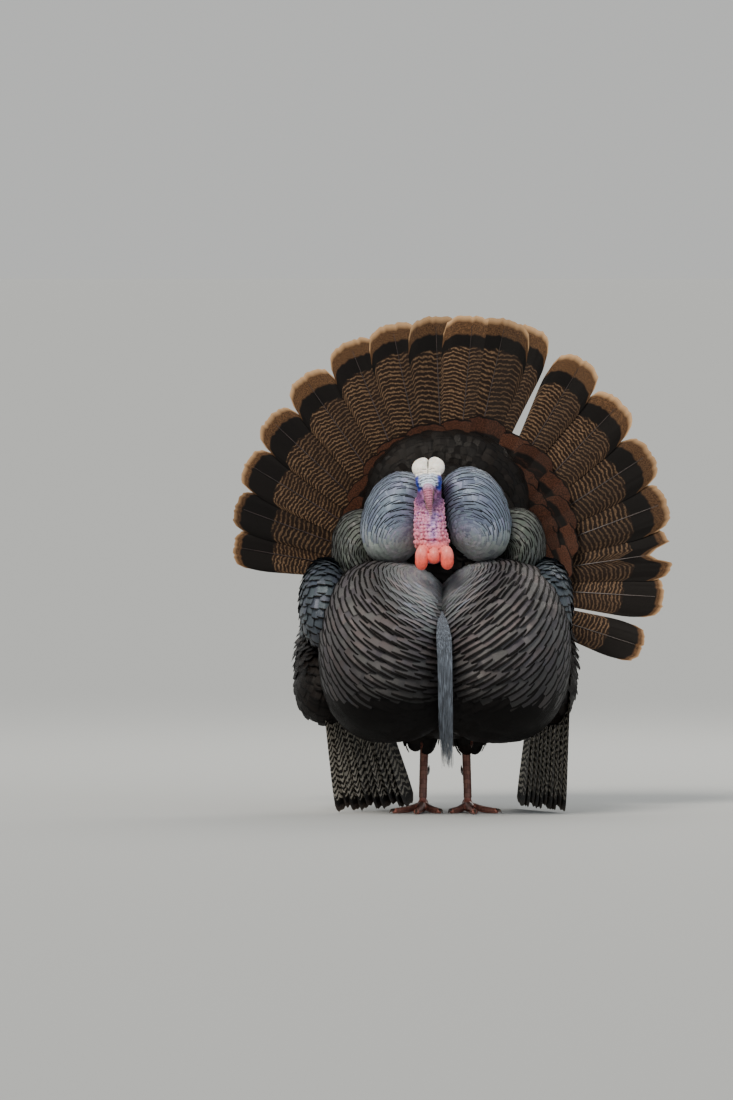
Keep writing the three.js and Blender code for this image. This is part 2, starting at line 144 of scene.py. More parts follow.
# %% Studio
FLOOR_SIDE = 800.0  # metres, so that its far edge lies at the horizon
bpy.ops.object.select_all(action="DESELECT")
bpy.ops.mesh.primitive_plane_add(size=FLOOR_SIDE, location=(0, 0, 0))
floor = bpy.context.object
floor.name = "floor"
floor_paint, tree = new_material("matt studio floor paint")
mottle = put(tree, "ShaderNodeTexNoise", {"Scale": 0.3, "Detail": 2.0})
tone = put(tree, "ShaderNodeValToRGB", {"Fac": mottle}, stops=[(0.3, "#AEB2B3"), (0.7, "#B7BBBC")])
surface(tree, {"Base Color": tone, "Roughness": 0.85})
floor.data.materials.append(floor_paint)

sky = bpy.data.worlds.new("studio")
bpy.context.scene.world = sky
sky.use_nodes = True
sky.node_tree.nodes["Background"].inputs["Color"].default_value = linear("#E1E2E0")
sky.node_tree.nodes["Background"].inputs["Strength"].default_value = 0.78


def lamp(name, kind, strength, colour, turn, at=(0, 0, 0), **settings):
    """A lamp of that kind, turned and placed. A sun shines the same from any place."""
    lamp_data = bpy.data.lights.new(name, kind)
    lamp_data.energy = strength
    lamp_data.color = linear(colour)[:3]
    for setting, value in settings.items():
        setattr(lamp_data, setting, value)
    made = bpy.data.objects.new(name, lamp_data)
    bpy.context.scene.collection.objects.link(made)
    made.location = at
    made.rotation_euler = turn


def sun_turn(height, side):
    """The turn of a sun that stands so high over the floor and so far round from -Y, in degrees."""
    return math.radians(90 - height), 0, math.radians(side)


RIM_AT, RIM_AIM = (0.9, 3.0, 3.0), (0, 0.1, 0.5)
lamp("rim", "AREA", 60.0, "#FFF8EE", aimed(RIM_AT, RIM_AIM), RIM_AT, size=1.8)
lamp("key", "SUN", 3.0, "#FFF4E6", sun_turn(46, -26), angle=math.radians(22))
lamp("fill", "SUN", 0.45, "#E6EEFF", sun_turn(20, 42), angle=math.radians(60))
print("studio lit by 3 lamps")

# %% [markdown]
# The bird's masses are superellipsoids, as in the frame: an ellipsoid made a little fuller. The
# same description serves three times: to model the flesh, to find where a feather lies and which
# way its surface faces, and to tell which feathers are buried under a neighbouring mass.


# %% The masses of the body
def turned(x_degrees, y_degrees):
    """A turn about X after one about Y, as a matrix."""
    about_x = Matrix.Rotation(math.radians(x_degrees), 3, "X")
    return np.array(about_x @ Matrix.Rotation(math.radians(y_degrees), 3, "Y"))


class Mass:
    """A superellipsoid: its middle, half-sizes, fullness and turns, in the bird's frame."""

    def __init__(self, at, half, fullness=2.3, turn=0.0, lean=0.0):
        self.at = np.array(at, float)
        self.half = np.array(half, float)
        self.fullness = fullness
        self.turn = turned(turn, lean)

    def local(self, places):
        """Places in the mass's own frame, from its middle."""
        return (places - self.at) @ self.turn

    def size_at(self, places):
        """1 on the surface, less inside."""
        scaled = np.abs(self.local(places) / self.half) ** self.fullness
        return scaled.sum(-1) ** (1 / self.fullness)

    def towards(self, directions):
        """The surface's point in a direction given in the mass's own scaled frame."""
        size = (np.abs(directions) ** self.fullness).sum(-1, keepdims=True) ** (1 / self.fullness)
        return (directions / size * self.half) @ self.turn.T + self.at

    def onto(self, places):
        """The surface's points under some places near it, and the way the surface faces there."""
        scaled = self.local(places) / self.half
        size = (np.abs(scaled) ** self.fullness).sum(-1, keepdims=True) ** (1 / self.fullness)
        scaled = scaled / size
        facing = np.sign(scaled) * np.abs(scaled) ** (self.fullness - 1) / self.half
        facing /= np.linalg.norm(facing, axis=-1, keepdims=True)
        return (scaled * self.half) @ self.turn.T + self.at, facing @ self.turn.T


MASSES = {
    "belly": Mass((10, 14, 240), (160, 150, 120)),
    "vent": Mass((12, 150, 262), (122, 92, 106)),
    "back": Mass((8, 34, 400), (122, 150, 150)),
    "nape": Mass((-6, -52, 470), (52, 86, 62)),
    "rump": Mass((14, 122, 478), (127, 84, 124)),
    "breast_right": Mass((-76, -76, 262), (110, 176, 143), 2.4),
    "breast_left": Mass((92, -76, 262), (115, 176, 143), 2.4),
    "mantle_right": Mass((-66, -82, 471), (53, 92, 75), 2.15, lean=18),
    "mantle_left": Mass((58, -82, 477), (54, 92, 76), 2.15, lean=-18),
    "scapulars_right": Mass((-121, 6, 419), (47, 112, 64)),
    "scapulars_left": Mass((125, 6, 421), (46, 112, 64)),
    "shoulder_right": Mass((-179, -48, 332), (41, 86, 74), 2.2),
    "shoulder_left": Mass((173, -48, 332), (41, 86, 74), 2.2),
    "arm_right": Mass((-179, 30, 290), (40, 70, 62)),
    "arm_left": Mass((173, 30, 290), (40, 70, 62)),
    "flank_right": Mass((-181, 40, 230), (43, 128, 74), 2.3, 16),
    "flank_left": Mass((175, 40, 230), (43, 128, 74), 2.3, 16),
    "undertail": Mass((12, 244, 288), (88, 50, 80), 2.3, -18),
    "thigh_right": Mass((-27, 22, 172), (36, 44, 82)),
    "thigh_left": Mass((51, 22, 172), (36, 44, 82)),
}
print(len(MASSES), "masses under the plumage")

# %% [markdown]
# Under the feathers is one skin, from the crown to the toes. It is raised from balls, the way a
# taxidermist builds up clay: each ball is a sphere added at its place and shaped, a voxel remesh
# welds them into one surface, and a smoothing pass settles it. Bare parts need a fine voxel for
# their folds, and the trunk only a coarse one, because feathers cover it.


# %% Places of a piece's points
def in_frame(matrix, places):
    """Places given in a frame of their own, as places in the bird's frame."""
    return np.asarray(places, float) @ matrix[:3, :3].T + matrix[:3, 3]


def mesh_places(piece):
    """A piece's points just as its mesh holds them."""
    values = np.empty(len(piece.data.vertices) * 3)
    piece.data.vertices.foreach_get("co", values)
    return values.reshape(-1, 3)


def get_places(piece):
    """A piece's points in the bird's frame, in millimetres, and the way the skin faces there."""
    facing = np.empty(len(piece.data.vertices) * 3, np.float32)
    piece.data.vertex_normals.foreach_get("vector", facing)
    return mesh_places(piece) / MM - CENTRING, facing.reshape(-1, 3).astype(float)


def set_places(piece, places):
    """Moves a piece's points to those places in the bird's frame."""
    piece.data.vertices.foreach_set("co", world(places).ravel())
    piece.data.update()


# %% Balls, paths and welding
def choose(*pieces):
    """Selects these objects alone, the first as the active one."""
    bpy.ops.object.select_all(action="DESELECT")
    for piece in pieces:
        piece.select_set(True)
    bpy.context.view_layer.objects.active = pieces[0]


def apply(piece, kind, **settings):
    """Adds a modifier to a piece and applies it."""
    choose(piece)
    modifier = piece.modifiers.new(kind.title(), kind)
    for name, value in settings.items():
        setattr(modifier, name, value)
    bpy.ops.object.modifier_apply(modifier=modifier.name)


def ball(at, half, matrix=None, rings=3):
    """A sphere with those half-sizes about a place, in the bird's frame or in another one."""
    bpy.ops.mesh.primitive_ico_sphere_add(subdivisions=rings, radius=1.0)
    made = bpy.context.object
    places = mesh_places(made) * np.array(half, float) + np.array(at, float)
    set_places(made, places if matrix is None else in_frame(matrix, places))
    return made


def smooth_path(path, radii, spacing):
    """Places along a Catmull-Rom curve, a fraction of their own radius apart, with their radii."""
    path = np.array(path, float)
    radii = np.array([np.broadcast_to(r, 3) for r in radii], float)
    ends = [2 * path[0] - path[1], *path, 2 * path[-1] - path[-2]]
    centres, sizes = [], []
    for i in range(len(path) - 1):
        a, b, c, d = (np.array(p) for p in ends[i : i + 4])
        length = np.linalg.norm(c - b)
        steps = max(1, int(math.ceil(length / (spacing * min(radii[i].min(), radii[i + 1].min())))))
        for t in np.arange(steps + (i == len(path) - 2)) / steps:
            centre = 0.5 * (2 * b + (c - a) * t + (2 * a - 5 * b + 4 * c - d) * t**2)
            centres.append(centre + 0.5 * (3 * b - a - 3 * c + d) * t**3)
            sizes.append(radii[i] * (1 - t) + radii[i + 1] * t)
    return centres, sizes


def chain(path, radii, spacing, matrix=None):
    """Balls along a smooth path, close enough to weld into a limb."""
    centres, sizes = smooth_path(path, radii, spacing)
    return [ball(at, half, matrix, rings=2) for at, half in zip(centres, sizes)]


def weld(balls, name, voxel, smoothing):
    """Joins balls into one closed skin with that voxel, in millimetres."""
    choose(*balls)
    bpy.ops.object.join()
    made = bpy.context.object
    made.name = name
    apply(made, "REMESH", mode="VOXEL", voxel_size=voxel * MM)
    apply(made, "SMOOTH", factor=0.5, iterations=smoothing)
    print(name, len(made.data.polygons), "faces")
    return made


# %% Soft steps and smooth noise
def smoothstep(low, high, value):
    """0 before low, 1 past high and a soft step between them. With low above high it falls."""
    t = np.clip((value - low) / (high - low), 0.0, 1.0)
    return t * t * (3 - 2 * t)


def noise_at(places, size, seed=0.0):
    """Smooth noise from -1 to 1 with that size of lump, in millimetres."""
    shift = Vector((seed, 2 * seed, 3 * seed))
    return np.array([noise.noise(Vector(p) / size + shift) for p in places])


# %% [markdown]
# The trunk's flesh is the same masses, drawn in by the depth of the coat. The body's contour
# feathers stand 8 to 10 mm deep over it, and it is nearly black, so no light shows between them.

# %% Flesh of the trunk
COAT_DEPTH = 9.0
trunk_balls = []
for mass in MASSES.values():
    bpy.ops.mesh.primitive_ico_sphere_add(subdivisions=4, radius=1.0)
    lump = bpy.context.object
    inner = Mass(mass.at, mass.half - COAT_DEPTH, mass.fullness)
    inner.turn = mass.turn
    set_places(lump, inner.towards(mesh_places(lump)))
    trunk_balls.append(lump)
TAIL_ROOT = np.array([16.0, 214.0, 358.0])
trunk_balls.append(ball(TAIL_ROOT + [0, 4, 0], (40, 16, 30)))
trunk = weld(trunk_balls, "trunk_flesh", voxel=9.0, smoothing=3)

# %% [markdown]
# The head is drawn level, bill towards -Y, and then bowed by 56 degrees, as a strutting male tucks
# its bill against its throat. The crown is two swollen pads with a cleft between them. Below them
# come the folded forehead, the brows and lids round each eye, the cheeks and the base of the bill,
# and the snood, a soft finger of skin that hangs over the bill.

# %% Head, in its own frame
HEAD_AT = np.array([-15.0, -172.0, 541.0])
HEAD_BOW = math.radians(56)
HEAD_ROLL = math.radians(-6)
HEAD = np.eye(4)
HEAD[:3, :3] = Matrix.Rotation(HEAD_BOW, 3, "X") @ Matrix.Rotation(HEAD_ROLL, 3, "Y")
HEAD[:3, 3] = HEAD_AT
EYE_RADIUS = 6.2
EYE_AT = np.array([14.6, -11.0, 3.0])
SNOOD = [(0, -28, 11.5), (0.3, -36, 14.5), (0.8, -47, 14), (1.3, -57, 8.5), (1.9, -65, 1.5), (2.2, -70, -4)]
SNOOD_RADII = [8.2, 8.4, 7.0, 5.2, 3.6, 2.2]


def head_local(places):
    """Places in the bird's frame, in the head's own frame."""
    return (places - HEAD_AT) @ HEAD[:3, :3]


head_balls = [
    ball((0, -2, 0), (16, 30, 18), HEAD),
    ball((0, -9, 9), (17.5, 12, 11), HEAD),
    ball((0, -20, 8), (12, 12, 9), HEAD),
    ball((0, -30, 0), (9, 10, 8), HEAD),
    ball((0, 2, -12), (13, 24, 11), HEAD),
    ball((0, -8, -21), (4.5, 17, 10), HEAD),
]
for side in (-1, 1):
    head_balls += [
        ball((side * 11.2, 9.5, 9), (15, 16.5, 11.5), HEAD, 4),
        ball((side * 9.5, 21, 4), (11, 10, 9), HEAD),
        ball((side * 15.5, -9, 9.5), (5, 12, 4.2), HEAD),
        ball((side * 14.5, -11, 1), (6.5, 12, 9.5), HEAD),
        ball((side * 12, -18, -8), (7, 13, 6.5), HEAD),
        ball((side * 8.5, -33, -7), (4, 10, 4), HEAD),
        ball((side * 15, 9, -4), (5, 9, 8), HEAD),
    ]
head_balls += chain(SNOOD, SNOOD_RADII, 0.4, HEAD)

# %% [markdown]
# Each eye lies in a socket and is held by two thick lids. A lid here is an arc of small balls on a
# circle round the eye, heavier above than below, so the eyeball looks out through an oval slit.

# %% Lids
LID_RADIUS = 6.3
LID_OUT = 3.0  # how far out along the eye's own axis the rim of the lids lies
for side in (-1, 1):
    for degrees in range(0, 360, 15):
        angle = math.radians(degrees)
        upper = 0.5 + 0.5 * math.sin(angle)
        across = LID_RADIUS * math.cos(angle)
        up = LID_RADIUS * 0.86 * math.sin(angle)
        lid_at = EYE_AT * [side, 1, 1] + [side * (LID_OUT - 0.3 * abs(across) / 2), across, up]
        head_balls.append(ball(lid_at, 1.25 + 0.45 * upper, HEAD, 2))

# %% [markdown]
# The neck comes down from behind the head and is knobbly all over with small caruncles, larger
# the lower they lie, and it ends in three smooth ones as big as thumbs. The small ones are balls
# set in rough rings round the neck, with seeded shifts so that no row looks drawn.

# %% Neck and caruncles
NECK = [(-13, -118, 538), (-14.5, -158, 505), (-13.5, -175, 465), (-10.5, -175, 438), (-9, -142, 418)]
NECK_RADII = [(19, 20, 19), (20.5, 22, 20), (22, 25, 21), (24.5, 27, 21), (22, 24, 19)]
neck_balls = chain(NECK, NECK_RADII, spacing=0.35)
dice = np.random.default_rng(11)
neck_centres, neck_sizes = (np.array(values) for values in smooth_path(NECK, NECK_RADII, 0.1))
LOWEST_KNOB, HIGHEST_KNOB = 424.0, 503.0
KNOB_RADIUS, KNOB_GROWTH = 2.2, 2.5  # at the highest, and how much more at the lowest
KNOB_PITCH, RING_PITCH = 1.75, 1.55  # from knob to knob and from ring to ring, in radii
ring_height = HIGHEST_KNOB
while ring_height > LOWEST_KNOB:
    down = (HIGHEST_KNOB - ring_height) / (HIGHEST_KNOB - LOWEST_KNOB)
    radius = KNOB_RADIUS + KNOB_GROWTH * down
    nearest = np.argmin(np.abs(neck_centres[:, 2] - ring_height))
    centre, size = neck_centres[nearest], neck_sizes[nearest]
    count = int(2 * math.pi * size[0] / (KNOB_PITCH * radius))
    for k in range(count):
        angle = 2 * math.pi * (k + dice.uniform(-0.3, 0.3)) / count
        r = radius * dice.uniform(0.7, 1.3)
        wide = 1.0 + (1 - down) * dice.uniform(0.1, 0.8)
        out = [size[0] * math.sin(angle), -size[1] * math.cos(angle), dice.uniform(-1.6, 1.6)]
        at = centre * [1, 1, 0] + [0, 0, ring_height] + out
        neck_balls.append(ball(at, (r * wide, r, r * 0.9), rings=2))
    ring_height -= RING_PITCH * radius
BIG_CARUNCLES = [(-27, 411.5, 10.2, 20.5), (-7, 414.5, 8.6, 13), (13.8, 411.5, 10.4, 19.5)]
for x, z, half_width, half_height in BIG_CARUNCLES:  # each has a body, a heavier low end and a root
    neck_balls += [
        ball((x, -214, z + 1), (half_width, 11.5, half_height * 0.94), rings=4),
        ball((x, -214, z - half_height * 0.3), (half_width, 11, half_height * 0.66), rings=4),
        ball((x * 0.85 - 1, -203, z + half_height * 0.5), (half_width * 0.9, 10, half_height * 0.5)),
    ]
neck_balls.append(ball((-8, -190, 428), (24, 15, 18)))  # the flesh they hang from
print("balls in the head and neck:", len(head_balls) + len(neck_balls))
head = weld(head_balls + neck_balls, "head_flesh", voxel=1.02, smoothing=2)

# %% [markdown]
# Wrinkles are pressed into the welded surface by moving each point along its own facing: a cleft
# down the middle of the crown and creases across it, folds over the forehead, rings round the
# snood, and fine crumpling all over.

# %% Wrinkles of the head
places, facing = get_places(head)
local = head_local(places)
x, y, z = local.T
drift = noise_at(places, 6.0)
CREASE_PITCH, FOLD_PITCH, SNOOD_RING_PITCH = 4.2, 3.8, 3.3  # mm from one wrinkle to the next
CLEFT_DEPTH, PIT_DEPTH, EAR_DEPTH = 2.0, 1.6, 2.2  # mm
FOLD_HEIGHT, SNOOD_RING_HEIGHT = 0.75, 0.6  # mm
crown = smoothstep(5.0, 9.0, z) * smoothstep(-10.0, -5.0, y)
cleft = np.exp(-((x / 1.1) ** 2)) * crown * CLEFT_DEPTH
pit = np.exp(-(((x - 0.5) / 2.2) ** 2) - ((y + 9.5) / 2.2) ** 2) * (z > 4) * PIT_DEPTH
creases = np.maximum(0, np.sin(2 * math.pi * (y / CREASE_PITCH + 0.35 * drift))) ** 3 * smoothstep(5, 9, z)
creases *= smoothstep(-10, -7, y) * smoothstep(7, -1, y) * (0.4 + 1.4 * np.exp(-((x / 9) ** 2)))
forehead = smoothstep(4.0, 8.0, z) * smoothstep(-5.0, -10.0, y) * smoothstep(-27.0, -21.0, y)
folds = np.cos(2 * math.pi * (y / FOLD_PITCH + 0.45 * drift)) * forehead * FOLD_HEIGHT
snood_path, snood_sizes = (np.array(values) for values in smooth_path(SNOOD, SNOOD_RADII, 0.15))
reach = np.linalg.norm(local[:, None] - snood_path[None], axis=-1)
along = np.argmin(reach, axis=1)
on_snood = smoothstep(2.2, 0.6, reach.min(1) - snood_sizes[along, 0]) * smoothstep(-27.0, -33.0, y)
steps = np.linalg.norm(np.diff(snood_path, axis=0), axis=1)
snood_run = np.concatenate([[0], np.cumsum(steps)])[along]
rings = np.cos(2 * math.pi * (snood_run / SNOOD_RING_PITCH + 0.3 * drift)) * on_snood * SNOOD_RING_HEIGHT
ear = np.exp(-(((y - 11) / 2.6) ** 2) - ((z + 3) / 3.2) ** 2) * (np.abs(x) > 10) * EAR_DEPTH
crumple = 0.5 * noise_at(places, 2.6, 3.0) + 0.45 * noise_at(places, 5.5, 5.0)
smooth_caruncle = smoothstep(436.0, 428.0, places[:, 2]) * smoothstep(-203.0, -206.0, places[:, 1])
crumple *= (1 - 0.8 * crown) * (1 - 0.75 * smooth_caruncle)
push = folds + rings + crumple - cleft - pit - creases - ear
set_places(head, places + facing * push[:, None])
print("deepest crease", round(float(push.min()), 2), "mm")

# %% [markdown]
# The bare shanks and toes are limbs: a smooth path with an oval section. The same path serves
# twice, for the flesh inside and later for the scales over it. The soles are pressed flat. Claws,
# spurs and the bill's halves are such limbs too, without flesh.


# %% Limbs
class Limb:
    """An oval limb along a path, in the bird's frame: its surface by run (0 to 1) and angle."""

    def __init__(self, path, radii, side=(1, 0, 0)):
        self.path, self.radii = path, radii
        self.centres, self.sizes = (np.array(v) for v in smooth_path(path, radii, 0.05))
        steps = np.linalg.norm(np.diff(self.centres, axis=0), axis=1)
        self.length = steps.sum()
        self.runs = np.concatenate([[0], np.cumsum(steps)]) / self.length
        tangents = np.gradient(self.centres, axis=0)
        self.tangents = tangents / np.linalg.norm(tangents, axis=1, keepdims=True)
        self.side = np.array(side, float)

    def read(self, values, run):
        """Values that were given along the limb, at other places along it."""
        return np.stack([np.interp(run, self.runs, column) for column in values.T], axis=-1)

    def surface(self, run, angle):
        """Points at a run and an angle, and the way out there. Angle 0 faces along tangent x side."""
        centre, size = self.read(self.centres, run), self.read(self.sizes, run)
        tangent = self.read(self.tangents, run)
        face = np.cross(tangent, self.side)
        face /= np.linalg.norm(face, axis=-1, keepdims=True)
        wide = np.cross(face, tangent)
        sine, cosine = np.sin(angle)[..., None], np.cos(angle)[..., None]
        out = wide * sine * size[..., 1:2] + face * cosine * size[..., :1]
        place = centre + wide * sine * size[..., :1] + face * cosine * size[..., 1:2]
        return place, out / np.linalg.norm(out, axis=-1, keepdims=True)


# %% Feet and toes
FOOT_AT = {"right": (-24.0, 0.0, 0.0), "left": (48.0, 0.0, 0.0)}
SIGN = {"right": -1, "left": 1}
TOE_OUT = math.radians(7)
ANKLE_HEIGHT = 14.0
HOCK = (0, 34, 142)
TOES = {  # name: direction in degrees, length, radius, claw
    "inner": (33, 60, 6.4, 13),
    "middle": (0, 84, 7.0, 15),
    "outer": (-35, 68, 6.2, 13),
    "hind": (172, 30, 5.0, 12),
}


def foot_frame(name):
    """The frame of a foot: its ankle over the origin and its middle toe towards -Y."""
    made = np.eye(4)
    made[:3, :3] = Matrix.Rotation(SIGN[name] * TOE_OUT, 3, "Z")
    made[:3, 3] = FOOT_AT[name]
    return made


def toe_ways(name, degrees):
    """The way along a toe, in its foot's frame, and the way across it, in the bird's."""
    matrix = foot_frame(name)
    angle = math.radians(degrees) * -SIGN[name]
    across = in_frame(matrix, (math.cos(angle), math.sin(angle), 0)) - matrix[:3, 3]
    return np.array([math.sin(angle), -math.cos(angle), 0.0]), across


TOE_LIFT = 0.62  # the middle of a toe's end stands this many of its radii over the floor
TOE_THINNING = (1.0, 0.9, 0.72)  # its radius at root, middle and end, against its full one
HIND_TOE = (22.0, 16.0)  # the heights of its root and middle: it leaves the shank above the others
SHANK = [(0, 0, 10), (0, 6, 45), (0, 20.4, 98), HOCK, (0, 28, 158)]
SHANK_RADII = [(6.2, 7.7, 7), (6.2, 7.7, 7), (6.6, 8.2, 7), (8.7, 10, 9), (8.4, 9.6, 9)]
limbs = {}
for name in SIGN:
    matrix = foot_frame(name)
    limbs["shank", name] = Limb(in_frame(matrix, SHANK), SHANK_RADII)
    for toe, (degrees, length, radius, _) in TOES.items():
        forward, across = toe_ways(name, degrees)
        lift = radius * TOE_LIFT
        start, halfway = HIND_TOE if toe == "hind" else (ANKLE_HEIGHT - 2, lift + 2)
        path = [(0, 0, start), forward * length * 0.5 + [0, 0, halfway], forward * length + [0, 0, lift]]
        thick = [(radius * k, radius * k * 0.98, radius * k) for k in TOE_THINNING]
        limbs[toe, name] = Limb(in_frame(matrix, path), thick, across)
for part in ("shank", "middle"):
    print(part, round(limbs[part, "left"].length), "mm long")

# %% Flesh of the legs
PADS = (0.36, 0.66, 0.95)  # how far along a toe the pads under its joints lie
SOLE = 0.4  # the soles are flat at this height
leg_balls = []
for (part, name), limb in limbs.items():
    leg_balls += chain(limb.path, limb.radii, spacing=0.35)
    if part != "shank":
        for joint in PADS:
            pad = limb.read(limb.centres, joint)
            width = TOES[part][2] * (1.0 - 0.22 * joint)
            leg_balls.append(ball(pad - [0, 0, width * 0.25], (width, width * 1.1, width * 0.7), rings=2))
for name in SIGN:
    leg_balls.append(ball(np.array(FOOT_AT[name]) + [0, 0, 11], (9.2, 10.6, 10.8)))
legs = weld(leg_balls, "leg_flesh", voxel=1.9, smoothing=3)
places, facing = get_places(legs)
places[:, 2] = np.maximum(places[:, 2], SOLE)
set_places(legs, places)

# %% [markdown]
# The three pieces of flesh become one skin by boolean union, so no seam is left where the neck
# goes down between the mantle's feathers or where a shank comes out of the thigh.

# %% One skin
skin = trunk
skin.name = "skin"
for part in (head, legs):
    apply(skin, "BOOLEAN", operation="UNION", solver="MANIFOLD", object=part)
    bpy.data.objects.remove(part)
choose(skin)
bpy.ops.object.shade_smooth()
print("skin:", len(skin.data.polygons), "faces")

# %% [markdown]
# The skin's colours are worked out point by point from where the point is: white on the crown,
# pale blue on the forehead, deep blue round the eyes, violet cheeks, a rosy snood, and a neck that
# turns from violet to coral red downwards. Feathers grow from skin as dark as themselves. Shade is
# painted into the hollows and highlights onto the knob tops, from how far a point lies below or
# above its neighbours, and the big caruncles get a painted highlight on their upper parts.


# %% Painting by points
def paint(colours, mask, hex_colour):
    """Mixes a colour in where the mask is 1."""
    colours += mask[:, None] * (np.array(linear(hex_colour)[:3]) - colours)


def hollows(piece, rounds=3):
    """How far each point stands above its neighbours' average, in millimetres."""
    count = len(piece.data.vertices)
    edges = np.empty(len(piece.data.edges) * 2, np.int32)
    piece.data.edges.foreach_get("vertices", edges)
    a, b = edges.reshape(-1, 2).T
    degree = np.bincount(a, minlength=count) + np.bincount(b, minlength=count)
    places, facing = get_places(piece)
    smoothed = places
    for _ in range(rounds):
        total = np.zeros_like(smoothed)
        for axis in range(3):
            total[:, axis] = np.bincount(a, smoothed[b, axis], count)
            total[:, axis] += np.bincount(b, smoothed[a, axis], count)
        smoothed = total / np.maximum(degree, 1)[:, None]
    return ((places - smoothed) * facing).sum(1)


def store(piece, name, values, kind="FLOAT_COLOR"):
    """Keeps a value for each point under a name that a material can read."""
    made = piece.data.attributes.new(name, kind, "POINT")
    if kind == "FLOAT_COLOR":
        values = np.concatenate([values, np.ones((len(values), 1))], axis=1)
        made.data.foreach_set("color", values.astype(np.float32).ravel())
    else:
        made.data.foreach_set("value", np.asarray(values, np.float32))


# %% Where the bare skin is
places, _ = get_places(skin)
local = head_local(places)
x, y, z = local.T
height = places[:, 2]
neck_line = Limb(NECK, NECK_RADII)
near_neck = np.full(len(places), 1e3)
close = (height > 375) & (places[:, 1] < -95)
gap = np.linalg.norm(places[close][:, None] - neck_line.centres[None, ::8], axis=-1)
near_neck[close] = gap.min(1)
bare = smoothstep(46.0, 40.0, near_neck)
caruncles = np.zeros(len(places))
for middle_x, middle_z, half_width, half_height in BIG_CARUNCLES:
    knob = Mass((middle_x, -212, middle_z), (half_width, 12, half_height))
    caruncles = np.maximum(caruncles, smoothstep(1.3, 1.05, knob.size_at(places)))
head_mass = Mass((0, 0, 0), (26, 44, 27))  # round the whole head, in the head's frame
headland = smoothstep(1.62, 1.15, head_mass.size_at(local)) * smoothstep(474, 502, height)
mottled = np.zeros(len(places))
mottled[close] = noise_at(places[close], 7.0, 9.0)
bare *= smoothstep(-128.0, -150.0, places[:, 1] - 0.6 * (height - 430))
print("bare points on the neck:", int((bare > 0.5).sum()), "and on the head:", int((headland > 0.5).sum()))

# %% Colours of the neck and head
colours = np.tile(np.array(linear("#171210")[:3]), (len(places), 1))
paint(colours, bare, "#C9789C")
paint(colours, bare * smoothstep(505, 470, height) * smoothstep(0.1, -0.5, mottled), "#9A68AC")
paint(colours, bare * smoothstep(478, 440, height), "#DE7C92")
paint(colours, bare * smoothstep(446, 424, height), "#E87470")
middle = np.exp(-(((places[:, 0] + 8 - 0.06 * (height - 460)) / 8.0) ** 2)) * (places[:, 1] < -180)
paint(colours, bare * middle * smoothstep(428, 446, height) * smoothstep(494, 480, height) * 0.7, "#A794D4")
paint(colours, caruncles, "#F2604F")
# painted highlight: the upper parts of the big caruncles are paled towards pink
paint(colours, caruncles * smoothstep(404, 424, height) * 0.6, "#FF9C96")
paint(colours, headland, "#9A6590")
brow = smoothstep(-14.0, -7.0, z - 0.3 * (y + 30)) * smoothstep(-27.0, -19.0, y)
paint(colours, headland * brow, "#666CBE")
paint(colours, headland * smoothstep(-2.0, -9.0, z) * smoothstep(4, -8, y), "#754978")
from_eye = np.sqrt(((np.abs(x) - 18) / 8.5) ** 2 + ((y + 13) / 15.0) ** 2 + ((z - 1) / 11.0) ** 2)
paint(colours, headland * smoothstep(1.3, 0.85, from_eye), "#2439A0")
paint(colours, headland * smoothstep(1.0, 6.0, z) * smoothstep(16.5, 13.0, np.abs(x)) * (y > -27), "#DCEAFF")
white = smoothstep(3.5, 7.0, z + 0.12 * (y + 8)) * smoothstep(-10.0, -6.5, y + 0.8 * mottled)
paint(colours, headland * np.maximum(white, smoothstep(20.0, 27.0, y) * smoothstep(0, 4, z)), "#FFFAF0")

# %% Colours of the snood and legs
reach = np.linalg.norm(local[close][:, None] - snood_path[None, ::2], axis=-1)
along = np.argmin(reach, axis=1)
snood_mask = np.zeros(len(places))
snood_mask[close] = smoothstep(2.6, 0.9, reach.min(1) - snood_sizes[::2][along, 0])
snood_mask *= smoothstep(-25.0, -33.0, y)
paint(colours, snood_mask, "#BE7590")
paint(colours, snood_mask * smoothstep(-42.0, -31.0, y) * 0.7, "#CDB9DC")
paint(colours, snood_mask * smoothstep(-50.0, -68.0, y) * 0.75, "#8E5767")
legs_mask = smoothstep(150.0, 140.0, height) * (np.abs(places[:, 0] - 12) < 160) * (places[:, 1] < 120)
from_shanks = [np.linalg.norm(places[:, :2] - (FOOT_AT[name][0], 22), axis=1) for name in SIGN]
shin = smoothstep(30.0, 26.0, np.minimum(*from_shanks))
legs_mask *= np.maximum(shin, smoothstep(60.0, 40.0, height))
paint(colours, legs_mask, "#9C6458")

# %% Painted shade in the skin's hollows and painted highlights on its knob tops
relief = hollows(skin)
# painted highlight: the knob tops of the bare neck are paled towards pink-white
knob_highlight = bare * (1 - 0.75 * caruncles) * (1 - headland) * smoothstep(0.05, 0.5, relief)
paint(colours, knob_highlight * 0.6, "#F6CFD8")
bare_all = np.maximum(bare, headland)
# painted shade: the bare skin is darkened in its hollows and creases
colours *= 1 - (0.8 * smoothstep(-0.03, -0.45, relief) * bare_all)[:, None]
colours *= (1 + 0.12 * mottled * (1 - white))[:, None]
store(skin, "Skin", colours)
print("relief from", round(float(relief.min()), 2), "to", round(float(relief.max()), 2), "mm")

# %% [markdown]
# Living skin lets some light in and scatters it under the surface, which keeps the caruncles from
# looking like painted plaster. It is moist enough for a soft gloss, with pores and tiny grains.

